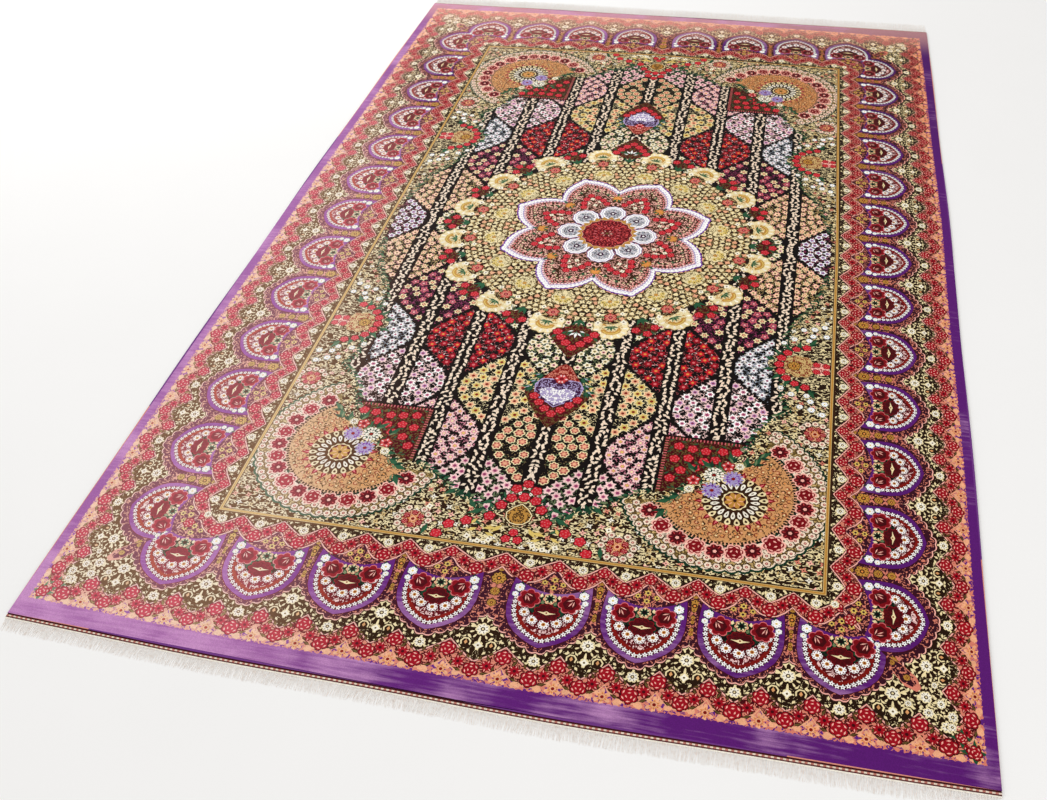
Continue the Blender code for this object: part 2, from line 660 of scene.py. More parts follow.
@dataclass(frozen=True)
class Bays:
    """The border's rhythm along half a side: palmettes and columns stand in turn on the nodes."""

    nodes: tuple[float, ...]
    palmette_first: bool
    palmettes: int
    palmette_reach: float = 1.0

    def halves(self) -> list[tuple[float, float]]:
        """The (palmette, column) places of each stretch between two nodes.

        Returns:
            The pairs, in rising order.
        """
        pairs = list(zip(self.nodes, self.nodes[1:]))
        first = 0 if self.palmette_first else 1
        return [pair if index % 2 == first else pair[::-1] for index, pair in enumerate(pairs)]

    def nodes_with(self, palmettes: bool) -> tuple[float, ...]:
        """The nodes where palmettes stand, or else those where columns do."""
        return self.nodes[0 if palmettes == self.palmette_first else 1 :: 2]

    def palmette_places(self) -> list[float]:
        """Where the palmettes' axes stand."""
        return list(self.nodes_with(palmettes=True)[: self.palmettes])

    def column_places(self) -> list[float]:
        """Where the axes of the columns between them stand.

        Returns:
            The places, up to the one past the last palmette.
        """
        last = max(self.palmette_places())
        after = min(node for node in self.nodes if node > last)
        return [node for node in self.nodes_with(palmettes=False) if node <= after]

    def path(self, profile: Outline, until: float = math.inf) -> Outline:
        """Repeats a line along the border.

        Args:
            profile: its points from a palmette's axis to a column's, as share of the way and depth.
            until: the node at which it ends.

        Returns:
            The line, in rising order.
        """
        result: Outline = []
        for palmette, column in self.halves():
            if max(palmette, column) > until:
                break
            steps = profile if palmette < column else profile[::-1]
            line = [complex(palmette + (column - palmette) * step.real, step.imag) for step in steps]
            result += line[1:] if result else line
        return result


def line_of(*pairs: tuple[float, float]) -> Outline:
    """A path from pairs of numbers."""
    return [complex(*pair) for pair in pairs]


def spread(path: Outline, step: float) -> Outline:
    """A path with extra points, none further apart than a step.

    Args:
        path: the path.
        step: the greatest distance.

    Returns:
        The path with its extra points.
    """
    result = []
    for here, there in zip(path, path[1:]):
        count = max(1, math.ceil(abs(there - here) / step))
        result += [here + (there - here) * index / count for index in range(count)]
    return result + [path[-1]]


@dataclass
class Border:
    """Half a side of the border, drawn flat: places run along it, depths in from the rug's edge.

    The ends set the depths, and the narrower sides take them over in shares.
    """

    bays: Bays
    corner: float
    along_side: bool
    seed: int

    DEPTHS = (0.0, 27.5, 81.5, 104.0, 187.4, 229.6, 233.4)
    SIDE_DEPTHS = (0.0, 12.0, 54.6, 72.6, 151.6, 192.0, 195.6)
    BAND_DEPTH = 27.5
    STEP = 24.0

    GUARD_TOP = line_of((0, 55), (0.14, 61), (0.34, 71), (0.51, 81.5), (0.68, 71), (0.86, 61), (1, 55))
    GUARD_FOOT = line_of(
        (0, 33), (0.14, 34), (0.28, 40), (0.42, 45), (0.51, 53), (0.6, 45), (0.72, 40), (0.86, 35), (1, 34.5)
    )
    BAY_EDGE = line_of(
        (0, 80.5), (0.2, 86), (0.4, 93), (0.6, 101.5), (0.75, 109.5), (0.87, 118.5), (1, 129.5)
    )
    GARLAND_FOOT = line_of(
        (0, 207), (0.1, 201), (0.2, 192), (0.35, 184.5), (0.53, 181.5), (0.7, 184.5), (0.85, 191), (1, 201)
    )
    GARLAND_TOP = line_of(
        (0, 223.7), (0.16, 217), (0.35, 209), (0.52, 203), (0.69, 209), (0.85, 217), (1, 223.7)
    )
    SHIELD = line_of(
        (0, 88), (10, 91.5), (22, 97.5), (34, 106), (43, 116), (49, 128), (52, 142), (52.5, 158), (51.5, 175),
        (50, 188), (40, 181), (27, 175.5), (13, 171.5), (0, 170),
    )
    SHIELD_MIDDLE = 158.0
    SHIELD_HALF_WIDTH = 52
    SHIELD_DEPTH = 70
    RINGS_END = 166
    GOLD_LINE = (
        (225.8, 227.4, Dye.UMBER), (227.4, 228.4, Dye.SAND), (228.4, 231.0, Dye.GOLD),
        (231.0, 232.0, Dye.SAND), (232.0, 233.4, Dye.UMBER),
    )

    @classmethod
    def side_depth(cls, depth: float) -> float:
        """The depth on a side that answers to a depth on an end."""
        return float(np.interp(depth, cls.DEPTHS, cls.SIDE_DEPTHS))

    def on_rug(self, panel: Panel) -> Panel:
        """The half side's panel, moved to squares from the middle of the pile.

        Args:
            panel: the panel in places along and depths.

        Returns:
            The panel where it lies on the rug.
        """
        along, depth = panel.spots.T
        if self.along_side:
            across = HALF_ACROSS - np.interp(depth, self.DEPTHS, self.SIDE_DEPTHS)
            return replace(panel, spots=np.stack([across, along], axis=1))
        return replace(panel, spots=np.stack([along, HALF_ALONG - depth], axis=1))

    def mitre(self, depth: float) -> float:
        """How far along the border the corner's mitre lies at a depth."""
        return HALF_ALONG - depth if self.along_side else HALF_ACROSS - self.side_depth(depth)

    def chart(self) -> Chart:
        """Draws the half side.

        Returns:
            The chart, in places along and depths.
        """
        rim = spread(line_of((0, 0), (self.mitre(0), 0)), self.STEP)
        mitre = [complex(self.mitre(depth), depth) for depth in self.DEPTHS[1:]]
        back = spread([mitre[-1], complex(0, self.DEPTHS[-1])], self.STEP)
        self.sheet = Chart(rim + mitre + back[1:], Cloth.BORDER, self.seed)
        self.draw_brown_ground()
        self.draw_guard()
        self.draw_bays()
        self.draw_garland()
        self.draw_corner()
        for place in self.bays.palmette_places():
            self.draw_palmette(place)
        for low, high, dye in self.GOLD_LINE:
            self.draw_bar(low, high, dye)
        self.draw_band()
        return self.sheet

    def draw_bar(self, low: float, high: float, yarn: Yarn) -> None:
        """Lays an even stripe between two depths.

        Args:
            low: the outer depth.
            high: the inner depth.
            yarn: the stripe's yarn.
        """
        end = self.corner + self.STEP
        lower = spread(line_of((-self.STEP, low), (end, low)), self.STEP)
        upper = spread(line_of((end, high), (-self.STEP, high)), self.STEP)
        self.sheet.paint(lower + upper, yarn)

    def draw_band(self) -> None:
        """Lays the plain outer band, whose inner edge is finely scalloped."""
        end = self.corner + self.STEP
        edge = rippled(line_of((end, self.BAND_DEPTH), (-self.STEP, self.BAND_DEPTH)), 7.6, 1.5)
        outer = spread(line_of((-self.STEP, -self.STEP), (end, -self.STEP)), self.STEP)
        self.sheet.paint(outer + edge, Cloth.BAND)

    def spots(self, share: float, depth: float) -> Iterator[tuple[complex, float]]:
        """Where something at a share of the way from palmette to column comes, and +1 or -1 for its side.

        Args:
            share: the share of the way.
            depth: the depth.

        Yields:
            Each place with its side.
        """
        for palmette, column in self.bays.halves():
            place = palmette + (column - palmette) * share
            yield complex(place, depth), 1.0 if column > palmette else -1.0

    def draw_brown_ground(self) -> None:
        """Sows cream leaves and flowers on the brown ground, the same in each bay."""
        chart = self.sheet
        sown = [
            (spot.real, spot.imag, 360 * chart.draw.random(), chart.draw.uniform(5.0, 7.6))
            for low, high in ((56.0, 128.0), (205.0, 226.0))
            for spot in chart.scatter(complex(0, low), complex(60, high), 8.4)
        ]
        for across, depth, turn, length in sown:
            for at, side in self.spots(across / 60, depth):
                chart.leaf(at, length, 3.6, faced(turn, side), Dye.CREAM)
        for place in self.bays.nodes_with(palmettes=True):
            middle = complex(place, 69)
            chart.paint(disc(11, 10), Dye.BROWN, middle)
            chart.wheel(middle, 3, 6.5, 6, 3.4, Dye.CREAM, 90)
            chart.bloom(Flower.CREAM_DAISY, middle, 8.0, 90)
        for place in self.bays.nodes_with(palmettes=False):
            middle = complex(place, 102)
            chart.paint(disc(17, 12), Dye.BROWN, middle)
            chart.wheel(middle, 11, 10.4, 5.6, 2.6, Dye.CREAM, 270)
            chart.wheel(middle - 3j, 3, 8, 11, 3.4, Dye.CREAM, 270)
            chart.bloom(Flower.CREAM_DAISY, middle, 9.4, 90)
            for side in (1, -1):
                curl = middle + complex(16 * side, -22)
                chart.paint(disc(8.4, 10), Dye.BROWN, curl)
                chart.paint(crescent(6.2, 2.0, -40, 210, 5), Dye.CREAM, curl)
                chart.leaf(curl - 3j, 7, 4.4, 90, Dye.TAN)
            chart.bloom(Flower.CREAM_STAR, complex(place, 78), 7.0, 90)
            chart.wheel(complex(place, 119.7), 3, 0.5, 7, 3.6, Dye.CREAM, 90)
        for at, _ in self.spots(0.53, 213.6):
            chart.bloom(Flower.CREAM_DAISY, at, 7.4, 90)

    def draw_guard(self) -> None:
        """Draws the outer zigzag of roses with the orange sprays under it."""
        chart, bays = self.sheet, self.bays
        top = bays.path(self.GUARD_TOP)
        foot = bays.path(self.GUARD_FOOT)
        closing = line_of((top[-1].real, 20), (top[0].real, 20))
        chart.paint(top + closing, Cloth.GUARD)
        chart.paint(foot + closing, Cloth.STRIP)
        chart.line(top, 3.4, Dye.PLUM)
        chart.line(top, 1.9, Dye.BLUSH)
        chart.line(foot, 1.7, Dye.PEACH)
        for share, depth, length, turn in (
            (0.51, 34, 15, 70), (0.3, 32, 12, 150), (0.72, 32, 12, 30), (0.12, 31, 9, 20)
        ):
            for at, side in self.spots(share, depth):
                chart.leaf(at, length, 5.6, faced(turn, side), Dye.PEACH)
                chart.leaf(at, length * 0.8, 4.4, faced(turn + 50, side), Dye.PEACH)
        for at, side in self.spots(0.51, 37):
            chart.wheel(at, 6, 3.0, 8.0, 5.0, Dye.PEACH, 30)
            chart.bloom(Flower.ORANGE_STAR, at, 7.0, 90)
        for share, depth, length, turn in (
            (0.2, 38, 11, 20), (0.33, 57, 12, 118), (0.37, 69, 9, 200), (0.68, 70, 9, -20),
            (0.72, 57, 12, 62), (0.84, 39, 11, 160), (0.09, 57, 9, 60), (0.92, 58, 9, 120), (0.4, 52, 9, 250),
            (0.62, 52, 9, -70),
        ):
            for at, side in self.spots(share, depth):
                chart.leaf(at, length, 5.0, faced(turn, side), Dye.UMBER)
                chart.leaf(at, length * 0.8, 2.6, faced(turn, side), Dye.OLIVE)
        for share in (0.27, 0.75):
            for at, side in self.spots(share, 51.5):
                chart.bloom(Flower.CARNATION, at, 10.2, 90 + side * 12)
        for at, side in self.spots(0.51, 67.0):
            chart.bloom(Flower.ROSE, at, 11.6, 90)
        for index, place in enumerate(bays.nodes):
            broad = (index % 2 == 0) == bays.palmette_first
            chart.bloom(Flower.ROSE, complex(place, 44.0), 12.4 if broad else 11.4, 90)

    def draw_bays(self) -> None:
        """Draws the purple-brown ground that holds the palmettes, and the columns' gold flowers."""
        chart, bays = self.sheet, self.bays
        last = max(bays.column_places())
        edge = rippled(bays.path(self.BAY_EDGE, last), 11.0, 4.0)
        foot = bays.path(self.GARLAND_FOOT)
        beyond = complex(foot[-1].real, edge[-1].imag)
        for inset, yarn in ((-1.4j, Dye.BROWN), (0j, Dye.BLUSH), (1.9j, Dye.PLUM), (3.0j, Cloth.COLUMN)):
            chart.paint([point + inset for point in edge] + [beyond + inset] + foot[::-1], yarn)
        for place in bays.column_places():
            for depth, radius in ((143, 6.8), (161, 7.2), (182, 11.0), (197.5, 5.0)):
                chart.bloom(Flower.GOLD_DAISY, complex(place, depth), radius, 90)
            for depth in (135.5, 151.5, 170.5):
                for turn in (25, 155, 205, 335):
                    chart.leaf(complex(place, depth), 8.5, 2.8, turn, Dye.SALMON)
        for place in bays.palmette_places():
            for across, depth, radius in ((0, 179.5, 5.4), (0, 192, 5.8), (12, 186, 5.0), (23, 189, 3.8)):
                for side in (1, -1) if across else (1,):
                    chart.bloom(Flower.GOLD_STAR, complex(place + side * across, depth), radius, 90)
                    chart.leaf(
                        complex(place + side * (across + 5), depth - 2), 6, 2.4, 90 - side * 50, Dye.SALMON
                    )

    def draw_garland(self) -> None:
        """Draws the inner garland of roses between its two scalloped lines."""
        chart, bays = self.sheet, self.bays
        foot, top = bays.path(self.GARLAND_FOOT), bays.path(self.GARLAND_TOP)
        chart.paint(foot + top[::-1], Cloth.GARLAND)
        for line in (foot, top):
            chart.line(line, 3.2, Dye.PLUM)
            chart.line(line, 1.8, Dye.BLUSH)
        for share, depth, length, turn in ((0.36, 197, 8, 130), (0.68, 197, 8, 50), (0.1, 209, 7, 150)):
            for at, side in self.spots(share, depth):
                chart.leaf(at, length, 3.4, faced(turn, side), Dye.UMBER)
        for share, depth in ((0.27, 202.0), (0.79, 202.0)):
            for at, side in self.spots(share, depth):
                chart.bloom(Flower.CARNATION, at, 10.8, 90)
        for at, side in self.spots(0.53, 192.0):
            chart.bloom(Flower.ROSE, at, 11.8, 90)
        for place in bays.nodes:
            chart.bloom(Flower.BUD_ROSE, complex(place, 213.0), 9.6, 90)

    def draw_corner(self) -> None:
        """Draws what stands on the mitre and is shared by both sides: roses, cream flowers and a leaf."""
        chart = self.sheet
        for depth, back, radius in ((104, 0, 8.5), (84, 14, 7.0), (70, 0, 6.0), (92, 30, 5.0)):
            at = complex(self.mitre(depth) - back, depth)
            chart.wheel(at, 8, radius * 1.16, radius * 0.5, 2.2, Dye.CREAM, 45)
            chart.bloom(Flower.CREAM_DAISY, at, radius, 45)
        tip, root = complex(self.mitre(112), 112), complex(self.mitre(150), 150)
        spear = tip - root
        for share, yarn in ((1.0, Dye.SALMON), (0.86, Cloth.COLUMN)):
            blade = petal(abs(spear) * share, 20 * share)
            chart.paint(blade, yarn, root, math.degrees(cmath.phase(spear)))
        chart.bloom(Flower.GOLD_DAISY, root + spear * 0.62, 5.0, 45)
        chart.bloom(Flower.GOLD_DAISY, root + spear * 0.15, 4.4, 45)
        for depth, radius in ((42, 10.4), (58, 8.0)):
            at = complex(self.mitre(depth), depth)
            for turn in (0, 90, 180, 270):
                chart.leaf(at, radius * 1.7, 6.5, turn, Dye.GREEN)
            chart.bloom(Flower.ROSE, at, radius, 45)
        at = complex(self.mitre(196), 196)
        chart.bloom(Flower.ROSE, at, 9.4, 45)
        chart.bloom(Flower.CREAM_DAISY, complex(self.mitre(216), 216), 6.0, 45)

    def draw_palmette(self, place: float) -> None:
        """Draws one palmette: the shield, its rings, the crescent of daisies and the roses.

        Args:
            place: where its axis stands.
        """
        chart, bays, middle = self.sheet, self.bays, self.SHIELD_MIDDLE

        def spot(across: float, depth: float) -> complex:
            """A place on this palmette, from the way that it is drawn at full size."""
            reach = bays.palmette_reach if depth < middle else 1.0
            return complex(place + across, middle + (depth - middle) * reach)

        def ring(inset: float, yarn: Yarn, top: float = math.inf) -> Outline:
            """Lays the shield again, inset and cut off at a depth, and gives back its right half.

            Args:
                inset: how far in its edge lies.
                yarn: its yarn.
                top: the depth where it is cut off.

            Returns:
                The right half of its edge.
            """
            across, deep = 1 - inset / self.SHIELD_HALF_WIDTH, 1 - inset / self.SHIELD_DEPTH
            half = [complex(p.real * across, middle + (p.imag - middle) * deep) for p in self.SHIELD]
            half = [point for point in half if point.imag < top]
            if top < math.inf:
                half.append(complex(half[-1].real * 0.5, top - 2))
            chart.paint([spot(point.real, point.imag) for point in both_sides(half)], yarn)
            return half[:-1]

        for inset, yarn in ((-5.2, Cloth.SHIELD_HEM), (-1.0, Dye.WINE), (0, Cloth.SHIELD)):
            ring(inset, yarn)
        ring(6.6, Dye.WINE, self.RINGS_END)
        row = ring(9.6, Dye.WINE, self.RINGS_END)
        ring(12.4, Dye.RUST, self.RINGS_END)
        ring(17.4, Cloth.CRESCENT, self.RINGS_END)
        for side in (1, -1):
            path = [spot(side * point.real, point.imag) for point in row]
            chart.beads(path, 7.0, star(5, 4.1, 1.9), Dye.WHITE)
            chart.beads(path, 7.0, disc(1.0, 4), Dye.PLUM)
        for across, depth, radius in (
            (0, 122.5, 8.8), (15.6, 127, 8.6), (27.6, 136.8, 8.2), (33.0, 149.5, 6.6)
        ):
            for side in (1, -1) if across else (1,):
                chart.bloom(Flower.WHITE_DAISY, spot(side * across, depth), radius, 90)
        hollow = line_of((0, 129), (14, 132), (23, 141), (29, 152), (33, 168), (16, 168), (0, 166))
        chart.paint([spot(point.real, point.imag) for point in both_sides(hollow)], Cloth.HOLLOW)
        for side in (1, -1):
            for across, depth, length, turn, yarn in (
                (36, 162, 13, 55, Dye.COAL), (38, 172, 12, 80, Dye.FOREST), (15, 150, 9, -50, Dye.GREEN),
                (7, 152, 7, 70, Dye.SAGE), (12, 162, 7, 100, Dye.CREAM),
            ):
                chart.leaf(spot(side * across, depth), length, 5.0, faced(turn, side), yarn)
            chart.bloom(Flower.WHITE_BLOSSOM, spot(side * 41.5, 173), 7.4, 90)
            chart.bloom(Flower.WHITE_BLOSSOM, spot(side * 45, 162), 4.8, 90)
        centre = spot(0, 140)
        heart = [complex(point.real * 1.24, point.imag) for point in scallops(9, 14.2, 11.6)]
        for size, yarn in ((1.0, Dye.CRIMSON), (0.92, Ground(Dye.WINE, Dye.GARNET, 0.4))):
            chart.paint(heart, yarn, centre, 0, size)
        flame = line_of(
            (-12, 0.5), (-5, -1.6), (0, -3.4), (5, -1.6), (12, 0.5), (4, 0.6), (0, 2.6), (-4, 0.6)
        )
        chart.paint(flame, Dye.CREAM, centre)
        chart.paint(disc(1.4, 6), Dye.RUST, centre)
        for side in (1, -1):
            rose = spot(side * 26, 158)
            chart.bloom(Flower.GREAT_ROSE, rose, 15.4, 90)
            for off, turn in ((-1 - 4j, 62), (4 - 4j, 82), (-4 + 4j, 20)):
                chart.leaf(rose + complex(off.real * side, off.imag), 9.5, 1.7, faced(turn, side), Dye.BLUSH)
        chart.bloom(
            Bloom(7, Dye.PEACH, Dye.FOREST, Dye.COAL, Dye.CREAM, stroke_width=0.3), spot(0, 162), 9.0, 90
        )


def end_border() -> Border:
    """Half of an end: columns first, because one stands in its middle."""
    nodes = (0.0, 71.5, 131.25, 191.0, 250.75, 310.5, 370.25, 430.0, 489.75, 549.5, 609.25)
    return Border(Bays(nodes, palmette_first=False, palmettes=4), HALF_ACROSS, False, 11)


def side_border() -> Border:
    """Half of a side: a palmette stands in its middle.

    Returns:
        The border.
    """
    pitch = 63.7
    nodes = tuple(pitch * index for index in range(17))
    return Border(Bays(nodes, palmette_first=True, palmettes=7, palmette_reach=0.9), HALF_ALONG, True, 12)


# ---- The field ----


@dataclass(frozen=True)
class Bed:
    """One diamond of the trellis: its flowers in turn, how closely they stand, and its small growth."""

    radius: float
    spacing: float
    leaf: Dye
    growth: Dye
    flowers: tuple[Bloom, ...]
    cover: float = 0.20


def bed_flower(rim: Dye, body: Dye, heart: Dye, tips: int = 5, share: float = 0.66) -> Bloom:
    """A small star flower of the trellis beds."""
    return Bloom(tips, rim, body, heart, pointed=True, body_share=share, heart_share=0.27)


class Beds:
    """What grows in the trellis, by column and row from the middle of the rug."""

    PEACH = Bed(
        7.4, 14.4, Dye.BLUSH, Dye.SAND,
        (bed_flower(Dye.BLUSH, Dye.CREAM, Dye.RUST), bed_flower(Dye.CREAM, Dye.SALMON, Dye.CREAM)),
    )
    MAUVE = Bed(
        8.0, 15.4, Dye.MAUVE, Dye.MAUVE,
        (bed_flower(Dye.CREAM, Dye.RUST, Dye.PEACH, 6, 0.5), bed_flower(Dye.ROSE, Dye.MAUVE, Dye.BLUSH)),
    )
    SILVER = Bed(8.2, 14.8, Dye.IVORY, Dye.SMOKE, (bed_flower(Dye.SILVER, Dye.WHITE, Dye.MAUVE, 6),))
    RED = Bed(
        9.2, 16.4, Dye.PALE_PINK, Dye.ROSE,
        (
            bed_flower(Dye.CRIMSON, Dye.SCARLET, Dye.ORANGE, 6, 0.8),
            bed_flower(Dye.GARNET, Dye.RED, Dye.ROSE, 6, 0.8),
        ),
        0.14,
    )
    HYACINTH = Bed(
        8.4, 15.4, Dye.PALE_PINK, Dye.PALE_PINK,
        (
            bed_flower(Dye.PALE_PINK, Dye.LILAC, Dye.MAUVE, 6, 0.6),
            bed_flower(Dye.WHITE, Dye.PINK, Dye.MAUVE, 6, 0.56),
        ),
    )
    YELLOW = Bed(
        10.0, 17.2, Dye.CREAM, Dye.CREAM,
        (
            bed_flower(Dye.CREAM, Dye.YELLOW, Dye.RUST, 6, 0.76),
            bed_flower(Dye.CREAM, Dye.PEACH, Dye.RUST, 6, 0.76),
        ),
        0.14,
    )
    ROSETTE = Bed(
        8.4, 17.6, Dye.SAGE, Dye.SAND,
        (Bloom(6, Dye.CREAM, Dye.SALMON, Dye.PEACH, Dye.RUST, stroke_width=0.3, body_share=0.74),), 0.05,
    )
    PINK = Bed(
        8.4, 15.4, Dye.PALE_PINK, Dye.PINK,
        (
            bed_flower(Dye.PALE_PINK, Dye.PINK, Dye.CREAM, 6, 0.6),
            bed_flower(Dye.PALE_PINK, Dye.ROSE, Dye.YELLOW, 6, 0.5),
        ),
    )
    CREAM = Bed(
        7.6, 14.6, Dye.CREAM, Dye.SAGE,
        (bed_flower(Dye.CREAM, Dye.PALE_PINK, Dye.RUST), bed_flower(Dye.IVORY, Dye.CREAM, Dye.OLIVE)),
    )
    WHITE = Bed(7.8, 14.8, Dye.PALE_PINK, Dye.MAUVE, (bed_flower(Dye.WHITE, Dye.LAVENDER, Dye.MAUVE),))
    LILY = Bed(8.8, 15.6, Dye.PALE_PINK, Dye.SAGE, (bed_flower(Dye.PALE_PINK, Dye.PINK, Dye.MAUVE, 6, 0.5),))

    PLANTED = {
        (4, 1): PEACH, (5, 0): WHITE, (3, 0): CREAM, (5, 2): PEACH, (3, 2): MAUVE, (1, 2): CREAM,
        (4, 3): SILVER, (2, 3): RED, (0, 3): CREAM, (3, 4): HYACINTH, (1, 4): YELLOW, (4, 5): PINK,
        (2, 5): PINK, (0, 5): ROSETTE, (3, 6): LILY, (1, 6): LILY,
    }


@dataclass
class Motif:
    """A part of the field's pattern, and the chart that it is drawn on."""

    sheet: Chart


@dataclass
class Trellis(Motif):
    """The dark trellis: barked columns, and diamonds planted with flowers either side of each."""

    column_pitch: float = 82.0
    row_pitch: float = 110.5
    bed_across: float = 72.0
    bed_along: float = 98.0
    bed_roundness: float = 1.40
    column_width: float = 25.0
    columns: int = 6
    bark_pitch: float = 6.6
    bark_reach: tuple[float, float] = (0.8, 8.0)
    bark_length: float = 9.2
    bark_width: float = 5.0
    top: float = 680.0

    EDGE = line_of(
        (399, -20), (398, 40), (391, 100), (376, 156), (352, 196), (336, 236), (334, 392), (346, 414),
        (326, 436), (309, 456), (299, 482), (290, 510), (262, 532), (230, 560), (200, 588), (176, 607),
        (160, 612), (146, 619), (128, 632), (108, 648), (90, 664), (76, 664), (60, 674), (46, 692), (34, 672),
        (20, 650), (0, 636), (-20, 634),
    )

    def bed_outline(self, middle: complex) -> Outline:
        """A diamond with drawn-out points, from its lower point round.

        Args:
            middle: the diamond's middle.

        Returns:
            The outline.
        """
        half = []
        for step in range(13):
            share = -1 + step / 6
            narrowing = math.cos(math.pi * share / 2) ** self.bed_roundness if abs(share) < 1 else 0
            across = self.bed_across * narrowing
            half.append(complex(across, self.bed_along * share))
        return [middle + point for point in half] + [middle - point.conjugate() for point in half[-2:0:-1]]

    def plant(self) -> None:
        """Draws the beds and then the columns over them."""
        chart = self.sheet
        chart.paint(line_of((-30, -30), (430, -30), (430, 700), (-30, 700)), Dye.COAL)
        for (column, row), bed in Beds.PLANTED.items():
            self.plant_bed(complex(column * self.column_pitch, row * self.row_pitch), bed)
        for column in range(self.columns):
            path = spread(
                line_of((column * self.column_pitch, -20), (column * self.column_pitch, self.top)), 40
            )
            chart.line(path, self.column_width, Dye.COAL)
            self.bark(column * self.column_pitch)

    def bark(self, across: float) -> None:
        """Draws a column's pale bark, two short crooked marks to a row.

        Args:
            across: where the column stands.
        """
        draw = self.sheet.draw
        for row in range(round(self.top / self.bark_pitch)):
            for side in (-1, 1):
                along = (row + side / 4 + draw.uniform(-0.3, 0.3)) * self.bark_pitch
                middle = complex(across + side * draw.uniform(*self.bark_reach), along)
                turn = draw.uniform(20, 160)
                root = middle - spoke(self.bark_length / 2, turn)
                self.sheet.leaf(root, self.bark_length, self.bark_width, turn, Dye.SHELL)

    def bed_spots(self, outline: Outline, middle: complex, bed: Bed) -> list[complex]:
        """Where flowers stand in a bed's right half: along its edge first, then wherever there is room.

        Args:
            outline: the bed's outline.
            middle: its middle.
            bed: what grows in it.

        Returns:
            The places.
        """
        hem = scaled(outline, middle, 1 - 0.9 * bed.radius / self.bed_across)
        inner = middle.real + self.column_width / 2 + bed.radius * 0.45
        low = complex(inner, middle.imag - self.bed_along)
        high = middle + complex(self.bed_across, self.bed_along)
        room = [spot for spot in self.sheet.scatter(low, high, bed.spacing / 3) if inside(spot, hem)]
        taken: list[complex] = []
        for spot in spread(hem[:13], bed.spacing / 4) + room:
            if spot.real > inner and all(abs(spot - other) > bed.spacing * 0.92 for other in taken):
                taken.append(spot)
        return taken

    def plant_bed(self, middle: complex, bed: Bed) -> None:
        """Draws one bed, its two halves alike.

        Args:
            middle: the bed's middle.
            bed: what grows in it.
        """
        chart, outline = self.sheet, self.bed_outline(middle)
        chart.paint(outline, Ground(Dye.COAL, bed.growth, bed.cover))
        for index, spot in enumerate(self.bed_spots(outline, middle, bed)):
            turn, size = 360 * chart.draw.random(), chart.draw.uniform(0.9, 1.1)
            for side in (1, -1):
                at = complex(middle.real + side * (spot.real - middle.real), spot.imag)
                if chart.reaches(at, bed.radius) and inside(at, self.EDGE + line_of((-20, -20))):
                    stem = faced(turn, side)
                    chart.leaf(at, bed.spacing * 0.72, 2.6, stem + side * 40, bed.leaf)
                    chart.leaf(at, bed.spacing * 0.70, 2.4, stem + side * 190, bed.leaf)
                    chart.bloom(bed.flowers[index % len(bed.flowers)], at, bed.radius * size, stem)

    def hedge(self, far: complex) -> None:
        """Covers what lies outside the trellis with the brown vine ground, behind a hem of leaves.

        Args:
            far: the field's outer corner.
        """
        chart = self.sheet
        corner = far + 30 + 30j
        outer = [complex(-30, corner.imag), corner, complex(corner.real, -30)]
        chart.paint(self.EDGE + outer, Cloth.VINES)
        hem = [point for point in spread(self.EDGE, 9.0) if point.imag > 60]
        greens = (Dye.GREEN, Dye.SAGE, Dye.FOREST)
        for index, (here, there) in enumerate(zip(hem, hem[1:])):
            turn = math.degrees(cmath.phase(there - here))
            chart.leaf(here, 12, 5.0, turn + chart.draw.uniform(20, 70), greens[index % 3])
            chart.leaf(here, 10, 4.2, turn + chart.draw.uniform(-60, -10), Dye.FOREST)
        for spot in chart.scatter(0j, far, 16.5, 0.25):
            if not inside(spot, self.EDGE + line_of((-20, -20))):
                turn = 90 * chart.draw.random()
                yarn = chart.draw.choice((Dye.CREAM, Dye.CREAM, Dye.SAND, Dye.IVORY, Dye.BLUSH, Dye.SALMON))
                chart.paint(star(4, 5.6, 2.2), yarn, spot, turn)
                chart.paint(disc(1.2, 4), Dye.UMBER, spot)
                chart.leaf(spot + spoke(5, turn + 45), 6.5, 2.6, turn + 80, Dye.SAND)


